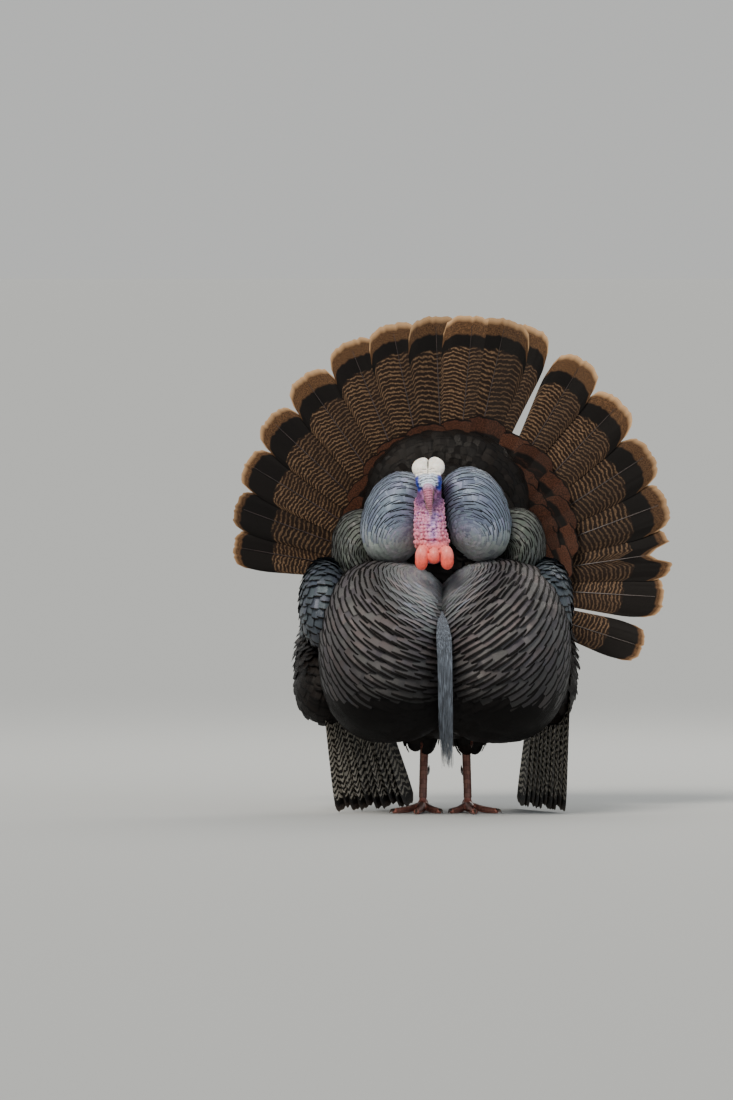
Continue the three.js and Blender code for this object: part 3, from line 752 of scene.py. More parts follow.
# %% Skin material
PORE, BLOTCH = 0.0011, 0.004  # metres: about a pore to the millimetre, and patches of 4 mm
skin_finish, tree = new_material("moist bare turkey skin")
base = put(tree, "ShaderNodeAttribute", {}, attribute_name="Skin")
where = put(tree, "ShaderNodeTexCoord", {}, output=3)
pores = put(tree, "ShaderNodeTexVoronoi", {"Vector": where, "Scale": 1 / PORE}, feature="SMOOTH_F1")
blotch = put(tree, "ShaderNodeTexNoise", {"Vector": where, "Scale": 1 / BLOTCH, "Detail": 4.0})
shade = put(tree, "ShaderNodeMapRange", {"Value": blotch, "From Min": 0.3, "From Max": 0.7,
                                         "To Min": 0.84, "To Max": 1.16})
tinted = put(tree, "ShaderNodeVectorMath", {0: base, "Scale": shade}, operation="SCALE")
grain = put(tree, "ShaderNodeMath", {0: pores, 1: blotch}, operation="ADD")
bump = put(tree, "ShaderNodeBump", {"Height": grain, "Strength": 0.35, "Distance": 0.0004})
gloss = put(tree, "ShaderNodeMapRange", {"Value": blotch, "To Min": 0.2, "To Max": 0.44})
surface(tree, {
    "Base Color": tinted, "Roughness": gloss, "Normal": bump, "IOR": 1.4,
    "Subsurface Weight": 0.12, "Subsurface Radius": (0.004, 0.0015, 0.001), "Subsurface Scale": 0.6,
})
skin.data.materials.clear()
skin.data.materials.append(skin_finish)
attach(skin, "root")
FLESH = ["head", "snood", "neck", "caruncle_right", "caruncle_middle", "caruncle_left"]
FLESH += [f"{part}_{name}" for part in ("shank", "foot") for name in SIGN]
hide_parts(*FLESH)

# %% [markdown]
# A contour feather is a thin curved vane: narrow at its root, which is sunk in the coat, and broad,
# square and slightly lifted at its tip. Each is a closed sliver of a few dozen faces, a grid above
# and a grid below that share their rim. Thousands are worked out at once as arrays, each grid laid
# on the mass that carries it, and are then joined into one mesh for each region.


# %% The vanes of a coat
class Coat:
    """Feathers gathered as grids of points, then made into one mesh."""

    def __init__(self, name):
        self.name = name
        self.parts = []

    def add(self, top, facing, thickness, vane, tint, edge, unwrap):
        """Grids of n x rows x columns. vane: mm across, from the tip, from the side."""
        count, rows, columns = top.shape[:3]
        inner = np.s_[:, 1:-1, 1:-1]
        under = top[inner] - facing[inner] * np.broadcast_to(thickness, top.shape[:3])[inner][..., None]
        index = np.arange(rows * columns).reshape(rows, columns)
        below = index.copy()
        below[1:-1, 1:-1] = rows * columns + np.arange((rows - 2) * (columns - 2)).reshape(rows - 2, -1)

        def quads(grid, flip):
            """The four-sided faces of a grid of point numbers."""
            corners = [grid[:-1, :-1], grid[1:, :-1], grid[1:, 1:], grid[:-1, 1:]]
            return np.stack(corners[::-1] if flip else corners, axis=-1).reshape(-1, 4)

        def both(values):
            """Values for the points above, then for those below, which leave the rim out."""
            values = np.broadcast_to(values, (count, rows, columns, values.shape[-1]))
            above = values.reshape(count, rows * columns, -1)
            return np.concatenate([above, values[inner].reshape(count, -1, values.shape[-1])], axis=1)

        points = np.concatenate([top.reshape(count, -1, 3), under.reshape(count, -1, 3)], axis=1)
        faces = np.concatenate([quads(index, False), quads(below, True)])
        chance = np.broadcast_to(dice.random((count, 1, 1, 1)), (count, rows, columns, 1))
        tint = np.broadcast_to(tint[:, None, None, :] if tint.ndim == 2 else tint, top.shape)
        look = np.concatenate([np.broadcast_to(edge, (count, 1))[:, None, None, :] + 0 * chance, chance], -1)
        self.parts.append((points, faces, both(vane), both(tint), both(look), both(unwrap)))

    def build(self, material, slot, *nodes):
        """One mesh of all the feathers, with what its material and its bake read."""
        points, faces, start = [], [], 0
        for places, quads, *_ in self.parts:
            shift = start + np.arange(len(places))[:, None, None] * places.shape[1]
            faces.append((quads[None] + shift).reshape(-1, 4))
            points.append(places.reshape(-1, 3))
            start += len(points[-1])
        faces = np.concatenate(faces).astype(np.int32)
        mesh = bpy.data.meshes.new(self.name)
        mesh.vertices.add(start)
        mesh.vertices.foreach_set("co", world(np.concatenate(points)).astype(np.float32).ravel())
        mesh.loops.add(faces.size)
        mesh.loops.foreach_set("vertex_index", faces.ravel())
        mesh.polygons.add(len(faces))
        mesh.polygons.foreach_set("loop_start", np.arange(0, faces.size, 4, dtype=np.int32))
        mesh.update(calc_edges=True)
        mesh.validate()
        piece = bpy.data.objects.new(self.name, mesh)
        bpy.context.scene.collection.objects.link(piece)
        vane, tint, look, unwrap = (
            np.concatenate([part[i].reshape(-1, part[i].shape[-1]) for part in self.parts])
            for i in range(2, 6)
        )
        made = mesh.attributes.new("Vane", "FLOAT_VECTOR", "POINT")
        made.data.foreach_set("vector", vane.astype(np.float32).ravel())
        store(piece, "Tint", tint)
        store(piece, "Edge", look[:, 0], "FLOAT")
        store(piece, "Chance", look[:, 1], "FLOAT")
        bake_map = mesh.uv_layers.new(name="OFBake")
        bake_map.data.foreach_set("uv", unwrap[faces.ravel()].astype(np.float32).ravel())
        mesh.polygons.foreach_set("use_smooth", np.ones(len(faces), bool))
        mesh.set_sharp_from_angle(angle=math.radians(75))
        mesh.materials.append(material)
        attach(piece, "root")
        if nodes:
            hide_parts(*nodes)
        print(self.name, sum(len(part[0]) for part in self.parts), "vanes,", 2 * len(faces), "triangles")


# %% [markdown]
# Feathers grow in rows like roof tiles. On a puffed mass they spread from one pole, each row a ring
# with its tips pointing away, half a feather out of step with the row before. The distance from the
# pole sets their size: smallest near the throat, largest low on the breast.

# %% Rows round a pole
LENGTHWISE = np.array([0.0, 0.38, 0.68, 0.88, 1.0])
CROSSWISE = np.array([-1.0, -0.55, 0.0, 0.55, 1.0])
BREADTHS = np.array([0.4, 0.86, 1.0, 0.98, 0.8])  # of a feather at those places along it
SQUARE_ENDS = np.array([0.4, 0.86, 1.0, 1.02, 0.97])  # of the mantle's and the breast's
FIRST_RING, LAST_RING = 1.6, math.pi - 0.12  # mm from the pole, and radians from it
SPACING = 0.78  # neighbours in a ring stand this share of their width apart
NUDGE = 0.01  # radians, to find how fast the surface runs
PATCH = 0.003  # a feather's width on the bake's map
CELLS = 5  # the map is a square of that many cells each way, one for each mass
BURIED = 0.965  # a place is buried where another mass shrunk to this size would still cover it


def pole_at(mass, x, z):
    """The direction, in the mass's own frame, of its front surface's point at that x and z."""
    u, _, w = mass.local(np.array([x, mass.at[1], z])) / mass.half
    depth = (1 - abs(u) ** mass.fullness - abs(w) ** mass.fullness) ** (1 / mass.fullness)
    made = np.array([u, -depth, w])
    return made / np.linalg.norm(made)


def rows_round(mass, pole, exposure, width, uneven):
    """Tips in rings round a pole: places, ways, visible lengths, widths and distances, in mm."""
    pole = np.array(pole, float) / np.linalg.norm(pole)
    first = np.cross(pole, [0.3, 0.2, 1.0])
    first /= np.linalg.norm(first)
    second = np.cross(pole, first)
    ring = np.linspace(0, 2 * math.pi, 361)

    def at(angle, turn):
        """The surface's point at an angle from the pole, and a turn round it."""
        angle, turn = np.asarray(angle)[..., None], np.asarray(turn)[..., None]
        spread = np.cos(turn) * first + np.sin(turn) * second
        return mass.towards(np.cos(angle) * pole + np.sin(angle) * spread)

    found = []
    angle, distance, row = FIRST_RING / mass.half.mean(), FIRST_RING, 0
    while angle < LAST_RING:
        here = at(angle, ring)
        pace = np.linalg.norm(at(angle + NUDGE, ring) - here, axis=1) / NUDGE
        around = np.concatenate([[0], np.cumsum(np.linalg.norm(np.diff(here, axis=0), axis=1))])
        step = exposure(distance) / pace.mean()
        count = max(6, int(round(around[-1] / (SPACING * width(distance)))))
        spots = (np.arange(count) + 0.5 * (row % 2) + dice.uniform(-0.16, 0.16, count)) / count % 1.0
        turns = np.interp(spots * around[-1], around, ring)
        local_pace = np.interp(turns, ring, pace)
        angles = angle + step * dice.uniform(-uneven, uneven, count)
        tips = at(angles, turns)
        ways = at(angles + NUDGE, turns) - tips
        ways /= np.linalg.norm(ways, axis=1, keepdims=True)
        wide = np.full(count, around[-1] / count / SPACING) * dice.uniform(0.9, 1.12, count)
        reach = np.minimum(angles * local_pace * 0.97, 1e3)
        found.append((tips, ways, step * local_pace, wide, np.full(count, distance), reach))
        distance += exposure(distance)
        angle += step
        row += 1
    return [np.concatenate(values) for values in zip(*found)]


def growing(start, gain, reach):
    """A size in millimetres that grows from start by gain, over that distance from the pole."""
    return lambda distance: start + gain * min(1, distance / reach)


def buried(name, places):
    """Which places lie inside another mass than the one named, by more than a few millimetres."""
    inside = np.zeros(len(places), bool)
    for other, mass in MASSES.items():
        if other != name:
            inside |= mass.size_at(places) < BURIED
    return inside


# %% [markdown]
# Each feather is then bent over its mass. Its root is tucked into the coat, its tip lifted, its
# sides cambered, and no two are turned or raised quite alike. Its tint and its dark edge come from
# where its tip is.

# %% Laying feathers on a mass
OVERLAP = 3.4  # a feather is this many times as long as what shows of it
CAMBER = 0.05  # how far its sides bend down, against its width
TUCK = 6.0  # how far below the coat's surface a long feather's root lies, in mm
VANE_THICKNESS = 0.9  # mm


def lay(coat, name, pole, exposure, width, tint, edge, lift, uneven=0.3, square=0.1, loose=1.0,
        ends=BREADTHS):
    """Covers a mass with feathers. Tints and edges are worked out from their tips and distances."""
    mass = MASSES[name]
    found = rows_round(mass, pole, exposure, width, uneven)
    keep = ~buried(name, found[0])
    tips, ways, shown, wide, distance, reach = (values[keep] for values in found)
    count = len(tips)
    length = np.clip(OVERLAP * shown, 0.9 * wide, reach)
    _, facing = mass.onto(tips)
    turn = dice.normal(0, 0.05 * loose, count)[:, None]
    side = np.cross(facing, ways)
    ways = ways * np.cos(turn) + side * np.sin(turn)
    side = np.cross(facing, ways)
    t = LENGTHWISE[None, :, None]
    s = CROSSWISE[None, None, :]
    corners = square * np.abs(s) ** 2.5 * (wide / length)[:, None, None]
    behind = (1 - t * (1 - corners)) * length[:, None, None]
    half = 0.5 * wide[:, None, None] * ends[None, :, None]
    rough = tips[:, None, None] - ways[:, None, None] * behind[..., None]
    rough = rough + side[:, None, None] * (half * s)[..., None]
    ground, facing = mass.onto(rough)
    rise = (lift(distance) * dice.uniform(1 - 0.4 * loose, 1 + 0.4 * loose, count))[:, None, None]
    tuck = np.minimum(TUCK, 0.16 * length)[:, None, None]
    roll = dice.normal(0, 0.035 * loose, count)[:, None, None]
    height = -tuck * (1 - t) ** 1.3 + rise * t**2 - CAMBER * wide[:, None, None] * s**2 + roll * half * s
    top = ground + facing * height[..., None]
    vane = np.stack(np.broadcast_arrays(half * s, behind, half * (1 - np.abs(s))), axis=-1)
    roots = mass.local(rough[:, 0, 2]) / mass.half
    longitude = np.arctan2(roots[:, 0], -roots[:, 1]) / (2 * math.pi) + 0.5
    latitude = np.arcsin(np.clip(roots[:, 2] / np.linalg.norm(roots, axis=1), -1, 1)) / math.pi + 0.5
    cell = list(MASSES).index(name)
    corner = np.array([cell % CELLS, cell // CELLS])
    where = (corner + 0.03 + 0.94 * np.stack([longitude, latitude], axis=-1)) / CELLS
    patch = np.stack(np.broadcast_arrays(s * PATCH / 2, t * PATCH), axis=-1)
    coat.add(top, facing, VANE_THICKNESS, vane, tint(tips, distance), edge(tips, distance)[:, None],
             where[:, None, None] + patch)

# %% [markdown]
# The metal look of a wild turkey isn't pigment. Thin layers in each barb mirror some colours more
# than others over black, so the vane is partly metallic, its tint drifts from feather to feather,
# and its plain black rim draws the line between one feather and the next. The barbs themselves run
# out from the shaft at a slant, about two to the millimetre, and are drawn a little coarser.


# %% Feather material
DRIFT, FRAY = 0.03, 0.0018  # metres: how wide patches of one shimmer are, and frayed barbs
BODY_BARB = 1.1  # mm from barb to barb, twice the real distance, or they wouldn't show
BODY_BARB_HEIGHT = 0.00025  # metres


def feather_material(name, metallic, roughness, shimmer):
    """A vane whose colour comes from its points, with slanting barbs and a plain black rim."""
    made, tree = new_material(name)
    vane = put(tree, "ShaderNodeAttribute", {}, output=1, attribute_name="Vane")
    across, from_tip, from_side = (
        put(tree, "ShaderNodeSeparateXYZ", {"Vector": vane}, output=i) for i in range(3)
    )
    tint = put(tree, "ShaderNodeAttribute", {}, attribute_name="Tint")
    edge = put(tree, "ShaderNodeAttribute", {}, output=2, attribute_name="Edge")
    chance = put(tree, "ShaderNodeAttribute", {}, output=2, attribute_name="Chance")
    where = put(tree, "ShaderNodeTexCoord", {}, output=3)
    drift = put(tree, "ShaderNodeTexNoise", {"Vector": where, "Scale": 1 / DRIFT, "Detail": 3.0})
    fray = put(tree, "ShaderNodeTexNoise", {"Vector": where, "Scale": 1 / FRAY, "Detail": 2.0})
    # Slanting barbs: the distance from the tip, bent back on both sides of the shaft.
    aside = put(tree, "ShaderNodeMath", {0: across}, operation="ABSOLUTE")
    slant = put(tree, "ShaderNodeMath", {0: aside, 1: 1.1, 2: from_tip}, operation="MULTIPLY_ADD")
    phase = put(tree, "ShaderNodeMath", {0: slant, 1: 2 * math.pi / BODY_BARB}, operation="MULTIPLY")
    barbs = put(tree, "ShaderNodeMath", {0: phase}, operation="SINE")
    # The rim: near the tip or, more thinly, near a side, frayed a little by the noise.
    side_gap = put(tree, "ShaderNodeMath", {0: from_side, 1: 3.6, 2: -0.2}, operation="MULTIPLY_ADD")
    tip_gap = put(tree, "ShaderNodeMath", {0: from_tip, 1: edge}, operation="SUBTRACT")
    rim = put(tree, "ShaderNodeMath", {0: tip_gap, 1: side_gap, 2: 1.2}, operation="SMOOTH_MIN")
    torn = put(tree, "ShaderNodeMath", {0: fray, 1: 1.6, 2: rim}, operation="MULTIPLY_ADD")
    shine = put(tree, "ShaderNodeMapRange", {"Value": torn, "From Min": 0.45, "From Max": 1.5})
    drifted = put(tree, "ShaderNodeMath", {0: drift, 1: chance}, operation="ADD")
    shift = put(tree, "ShaderNodeMapRange", {"Value": drifted, "From Min": 0.35, "From Max": 1.65})
    play = put(tree, "ShaderNodeValToRGB", {"Fac": shift}, stops=shimmer)
    tinted = put(tree, "ShaderNodeMix", {"Factor": 1.0, 6: tint, 7: play}, output=2,
                 data_type="RGBA", blend_type="MULTIPLY")
    level = put(tree, "ShaderNodeMapRange", {"Value": chance, "To Min": 1.0, "To Max": 1.5})
    lit = put(tree, "ShaderNodeVectorMath", {0: tinted, "Scale": level}, operation="SCALE")
    weave = put(tree, "ShaderNodeMapRange", {"Value": barbs, "From Min": -1.0, "To Min": 0.84, "To Max": 1.1})
    woven = put(tree, "ShaderNodeVectorMath", {0: lit, "Scale": weave}, operation="SCALE")
    black = linear("#0B0909")
    colour = put(tree, "ShaderNodeMix", {"Factor": shine, 6: black, 7: woven}, output=2, data_type="RGBA")
    metal = put(tree, "ShaderNodeMath", {0: shine, 1: metallic}, operation="MULTIPLY")
    mirror = put(tree, "ShaderNodeMapRange", {"Value": shine, "To Min": 0.1, "To Max": 0.15 + metallic})
    rough = put(tree, "ShaderNodeMapRange", {"Value": drift, "From Min": 0.3, "From Max": 0.7,
                                             "To Min": roughness - 0.06, "To Max": roughness + 0.08})
    relief = put(tree, "ShaderNodeMath", {0: barbs, 1: 0.5, 2: fray}, operation="MULTIPLY_ADD")
    bump = put(tree, "ShaderNodeBump", {"Height": relief, "Strength": 0.5, "Distance": BODY_BARB_HEIGHT})
    surface(tree, {"Base Color": colour, "Metallic": metal, "Roughness": rough, "Normal": bump,
                   "IOR": 1.5, "Specular IOR Level": mirror})
    return made


BRONZE_PLAY = [(0.0, "#C4BDC8"), (0.3, "#C9C9C9"), (0.55, "#C1C8C2"), (0.8, "#CABFBA"), (1.0, "#BCC4CE")]
SILVER_PLAY = [(0.0, "#C0C4D2"), (0.35, "#CCD1D5"), (0.6, "#C4D0CE"), (0.85, "#CBC6D1"), (1.0, "#BFC7D5")]
BLACK_PLAY = [(0.0, "#C0B8B0"), (0.5, "#D0B8A4"), (1.0, "#B4B8C0")]
bronze_vanes = feather_material("burnished breast feathers", 0.3, 0.44, BRONZE_PLAY)
silver_vanes = feather_material("steel-blue mantle feathers", 0.38, 0.4, SILVER_PLAY)
black_vanes = feather_material("sooty body feathers", 0.02, 0.45, BLACK_PLAY)
print("three finishes for the body's feathers")

# %% [markdown]
# The breast is two great cushions with a cleft between them. Beside the cleft, just under the
# throat, the feathers are as small and smooth as scales and look pale silver. Away from there they
# grow into broad flat tiles of a darker bronze grey, and under the belly they are black.


# %% Breast
def blend_hex(low, high, amount):
    """Linear colours between two hex colours."""
    low, high = (np.array(linear(c)[:3]) for c in (low, high))
    return low + (high - low) * np.clip(amount, 0, 1)[:, None]


CLEFT_X = 4  # mm, where the middle of the cleft is


def breast_tint(tips, distance):
    """Pale by the throat, darker outwards and downwards, with painted shade in the cleft, and black
    underneath.
    """
    fine = blend_hex("#C2CAD4", "#625F63", (distance - 40) / 80)
    # painted shade: the feathers in the cleft between the two cushions are darkened
    cleft = 1 - 0.7 * np.exp(-(((tips[:, 0] - CLEFT_X) / 9) ** 2))
    dim = cleft * (1 - 0.55 * smoothstep(300, 205, tips[:, 2]))
    low = smoothstep(225, 172, tips[:, 2] + 0.12 * np.abs(tips[:, 0] - CLEFT_X))[:, None]
    return fine * dim[:, None] * (1 - low) + np.array(linear("#120E0C")[:3]) * low


def breast_edge(tips, distance):
    """The width of the black edges, in mm: the feathers' black tips, widened with painted shade between the
    rows. None on the smallest feathers, all of the lowest.
    """
    # real black tips, widened so that they also stand for the painted shade between the rows
    mean = 1.5 * smoothstep(25, 85, distance) + 2.3 * smoothstep(70, 160, distance) - 0.4
    return mean * dice.uniform(0.8, 1.2, len(tips)) + 14 * smoothstep(190, 160, tips[:, 2])


def breast_lift(distance):
    """How far the tips stand up, in mm: the small ones lie flat."""
    return 0.5 + 5.0 * smoothstep(20, 150, distance)


EVEN_ROWS = {"uneven": 0.1, "square": 0.03, "loose": 0.5, "ends": SQUARE_ENDS}
BREAST_POLES = {"breast_right": (-15, 374), "breast_left": (14, 372)}  # x and z, by the throat
breast_coat = Coat("breast_coat")
for name, (x, z) in BREAST_POLES.items():
    lay(breast_coat, name, pole_at(MASSES[name], x, z), growing(3.4, 8.6, 170), growing(7.5, 42, 150),
        breast_tint, breast_edge, breast_lift, **EVEN_ROWS)
breast_coat.build(bronze_vanes, "bronze_plumage", "breast_right", "breast_left")

# %% [markdown]
# The mantle stands up on both sides of the neck like a ruffled collar. Its feathers are finer and
# bluer than the breast's, their blue partly a painted reflection of the sky, and lie in even arcs,
# with painted shade at its foot and top. Outside it, the scapulars make a smaller cushion over each
# shoulder, duller and a little greener.


# %% Mantle
def mantle_tint(tips, distance):
    """Grey with painted shade at the mantle's foot, steel blue above that, partly a painted reflection of the
    sky, and painted shade at the top.
    """
    # the steel blue higher up is partly the feathers' own colour and partly a painted reflection of the sky
    fine = blend_hex("#BDBFBC", "#C2D0EC", (tips[:, 2] - 430) / 40)
    # painted shade: dimmer at the mantle's foot
    fine = fine * (1 - 0.3 * smoothstep(430, 400, tips[:, 2]))[:, None]
    # painted shade: darker towards the top
    return fine * (1 - 0.55 * smoothstep(440, 510, tips[:, 2] + 0.25 * distance))[:, None]


def mantle_edge(tips, distance):
    """The width of the black edges, in mm: only the larger and higher feathers have one."""
    return (1.9 * smoothstep(18, 60, distance) + 0.3) * smoothstep(420, 462, tips[:, 2]) - 0.7


def mantle_lift(distance):
    """How far the tips stand up, in mm: less than the breast's."""
    return 0.3 + 2.6 * smoothstep(10, 60, distance)


MANTLE_POLES = {"mantle_right": (-52, 437), "mantle_left": (46, 441)}  # x and z
mantle_coat = Coat("mantle_coat")
for name, (x, z) in MANTLE_POLES.items():
    lay(mantle_coat, name, pole_at(MASSES[name], x, z), growing(3.2, 4.8, 80), growing(7, 30, 80),
        mantle_tint, mantle_edge, mantle_lift, **EVEN_ROWS)
mantle_coat.build(silver_vanes, "silver_plumage", "mantle_right", "mantle_left")

# %% Scapulars
SCAPULAR_POLES = {"scapulars_right": (-98, 416), "scapulars_left": (100, 416)}
scapular_coat = Coat("scapular_coat")
for name, (x, z) in SCAPULAR_POLES.items():
    lay(scapular_coat, name, pole_at(MASSES[name], x, z), growing(4.5, 3, 90), growing(9, 22, 80),
        tint=lambda tips, distance: blend_hex("#565850", "#62665F", distance / 60),
        edge=lambda tips, distance: 1.0 + distance / 60, lift=lambda distance: 2.4, uneven=0.12)
scapular_coat.build(silver_vanes, "silver_plumage", "scapulars_right", "scapulars_left")

# %% [markdown]
# Over the bend of each drooped wing the feathers are narrow, blue grey and black-edged, and point
# down. Lower on the flank they turn sooty and looser.


# %% Wing shoulders and flanks
def wing_tint(tips, _):
    """Blue grey above and sooty below."""
    return blend_hex("#120D0A", "#555D66", smoothstep(235, 310, tips[:, 2]))


wing_coat, flank_coat = Coat("wing_coat"), Coat("flank_coat")
WING_MASSES = {  # how far back and up its pole lies, how far its tips stand up in mm, and its coat
    "shoulder": (0.3, 3.2, wing_coat),
    "arm": (0.2, 3.2, wing_coat),
    "flank": (0.1, 8.0, flank_coat),
}
for side_name, sign in SIGN.items():
    for part, (back, rise, coat) in WING_MASSES.items():
        lay(coat, f"{part}_{side_name}", (-0.3 * sign, back, 0.9), growing(8, 6, 120), growing(8, 11, 140),
            wing_tint, edge=lambda tips, distance: 0.9 + distance / 80, lift=lambda distance: rise)
wing_coat.build(silver_vanes, "silver_plumage", "wing_right", "wing_left")
flank_coat.build(black_vanes, "silver_plumage")

# %% [markdown]
# The back, rump, belly and thighs are sooty brown-black. Their feathers are broad and soft. The
# rump's stand up in the strut and make the dark ruff that frames the head.


# %% Dark body feathers
def sooty(tips, _):
    """A brown-black that differs a little from feather to feather."""
    return blend_hex("#090706", "#15100C", dice.random(len(tips)))


DARK_POLES = {"rump": (0, -1.0, -0.15), "back": (0, -0.8, 0.6), "nape": (0, -0.9, -0.2)}
BELLY_POLES = {
    "belly": (0, -0.5, 0.85), "vent": (0, -0.6, 0.8), "thigh_right": (0, 0, 1), "thigh_left": (0, 0, 1),
    "undertail": (0, 0.1, -1),
}
dark_coat, belly_coat = Coat("back_coat"), Coat("belly_coat")
for name, pole in DARK_POLES.items():
    lay(dark_coat, name, pole, growing(8, 5, 150), growing(10, 11, 130), sooty,
        edge=lambda tips, _: np.full(len(tips), 2.0), lift=lambda distance: 7.0)
dark_coat.build(black_vanes, "black_plumage", "back", "rump")

# %% Dark feathers underneath
for name, pole in BELLY_POLES.items():
    lay(belly_coat, name, pole, growing(10, 6, 150), growing(14, 16, 130), sooty,
        edge=lambda tips, _: np.full(len(tips), 1.0), lift=lambda distance: 3.0)
belly_coat.build(black_vanes, "black_plumage", "belly", "thigh_right", "thigh_left")

# %% [markdown]
# The tail is eighteen stiff quills spread to a fan, the middle ones in front and each outer one
# behind the one inside it. A vane here is wide enough to see its outline: it opens slowly from the
# shaft's root, stays nearly parallel, and ends in a rounded square. The grid's rows bend with the
# tip, so that bands painted by the distance from the tip bend with it too.

# %% The fan's directions
QUILL_DEGREES = [
    169.5, 159.4, 148.5, 136.8, 124.5, 112, 102, 92.5, 84.5,
    77.5, 72.2, 58.8, 46.5, 33.1, 20.8, 8.6, -3, -17.3,
]
FAN_AXIS, HALF_SPREAD = 76.0, 93.0
LONGEST, SHORTER_AT_EDGE = 440.0, 100.0
CUP_MIDDLE, CUP_EDGE = 2.0, 14.0  # degrees that the quills lean forward
QUILL_WIDTH, NARROWER_AT_EDGE, QUILL_STEP = 98.0, 0.33, 3.0
SPLIT_QUILL = 15  # one tip has parted into two


def off_axis(degrees):
    """How far a direction is from the fan's axis: 1 at its edges."""
    return np.abs(degrees - FAN_AXIS) / HALF_SPREAD


def unit(vectors):
    """The same vectors, one long."""
    return vectors / np.linalg.norm(vectors, axis=-1, keepdims=True)


def fan_cup(degrees):
    """How far a quill leans forward, in radians."""
    return np.radians(CUP_MIDDLE + (CUP_EDGE - CUP_MIDDLE) * off_axis(degrees) ** 2)


def fan_way(degrees):
    """The direction of a quill."""
    cup, a = fan_cup(degrees), np.radians(degrees)
    return np.stack([np.cos(a) * np.cos(cup), -np.sin(cup), np.sin(a) * np.cos(cup)], axis=-1)


def fan_front(degrees):
    """The way a quill's front faces: across it and across the step to its neighbours."""
    return unit(np.cross(fan_way(degrees), fan_way(degrees + 1) - fan_way(degrees - 1)))


def quill_length(degrees):
    """From the fan's pivot to a quill's tip, in mm. One side is a little longer than the other."""
    uneven = 1 + 0.03 * np.sign(degrees - FAN_AXIS) * smoothstep(0.05, 0.4, off_axis(degrees))
    return uneven * (LONGEST - SHORTER_AT_EDGE * off_axis(degrees) ** 1.35) / np.cos(fan_cup(degrees))


print("quills from", min(QUILL_DEGREES), "to", max(QUILL_DEGREES), "degrees")

# %% Blades
BLADE_THICKNESS = 0.8  # mm
RAGGED = 0.8  # mm, how uneven the ends of the barbs make a tip
PARTING = 34.0  # mm, how deep a parted tip is split
TIP_SQUARENESS = 2.7  # 2 would round a tip off as an ellipse


def blades(coat, roots, ways, facing, length, width, rows, columns, *, tint, cell, root_width=0.14,
           tip=0.42, bend=0.0, camber=0.03, taper=0.9, split=None):
    """Flat vanes, each from its root along its way. bend lifts the tips off their plane, in mm."""
    count = len(roots)
    t = np.linspace(0, 1, rows) ** 0.85
    s = np.linspace(-1, 1, columns)
    t, s = t[None, :, None], s[None, None, :]
    length, width, bend, taper = (
        np.broadcast_to(v, count)[:, None, None] for v in (length, width, bend, taper)
    )
    opening = root_width + (1 - root_width) * np.minimum(1, t / 0.93) ** taper
    half = 0.5 * width * opening * (1 - 0.06 * smoothstep(0.85, 1.0, t))
    drop = tip * width * (1 - (1 - np.abs(s) ** TIP_SQUARENESS * 0.995) ** (1 / TIP_SQUARENESS))
    wave = sum(np.sin(s * k + dice.uniform(0, 6.3, (count, 1, 1))) for k in (9, 17, 31))
    drop = drop + RAGGED * wave
    if split is not None:
        notch = np.zeros((count, 1, 1))
        notch[split] = 1.0
        drop = drop + PARTING * notch * np.clip(1 - np.abs(s) / 0.3, 0, 1)
    fade = smoothstep(0.45, 1.0, t)
    run = t * length - drop * fade
    side = unit(np.cross(facing, ways))
    aside = half * s
    if split is not None:
        aside = aside + notch * np.sign(s) * 5 * smoothstep(0.86, 1.0, t)
    height = bend * t**2 - camber * width * np.abs(s) ** 1.6 + 0.25 * np.sin(6 * t + 5 * s)
    top = roots[:, None, None] + ways[:, None, None] * run[..., None]
    top = top + side[:, None, None] * aside[..., None] + facing[:, None, None] * height[..., None]
    normal = np.broadcast_to(facing[:, None, None], top.shape)
    vane = np.stack(np.broadcast_arrays(half * s, length * (1 - t), half * (1 - np.abs(s))), axis=-1)
    order = np.arange(count)[:, None, None]
    strip_x, strip_y = (order + 0.5 + 0.45 * s) / count, 0.02 + 0.96 * t + 0 * order
    corner, size = cell
    where = np.array(corner) + np.stack(np.broadcast_arrays(strip_x, strip_y), axis=-1) * size
    coat.add(top, normal, BLADE_THICKNESS, vane, tint, np.zeros((count, 1)), where)


# %% Shafts and other tubes
SHAFT_REACH = 0.97  # a shaft ends this far along its vane
SHAFT_LIFT = 0.3  # mm over the vane


def shafts(roots, ways, facing, length, radius, reach=SHAFT_REACH, bend=0.0):
    """The tapered shafts along such vanes, standing a little proud of them."""
    count = len(roots)
    rows, around = 14, 7
    t = np.linspace(0, 1, rows)[None, :, None]
    turn = np.linspace(0, 2 * math.pi, around)[None, None, :]
    length = np.broadcast_to(length * reach, count)[:, None, None]
    girth = radius * (1 - 0.82 * t)
    side = unit(np.cross(facing, ways))
    top = roots[:, None, None] + ways[:, None, None] * (t * length)[..., None]
    height = np.cos(turn) * girth * 0.8 + SHAFT_LIFT + bend * t**2
    top = top + side[:, None, None] * (np.sin(turn) * girth)[..., None]
    return top + facing[:, None, None] * height[..., None]


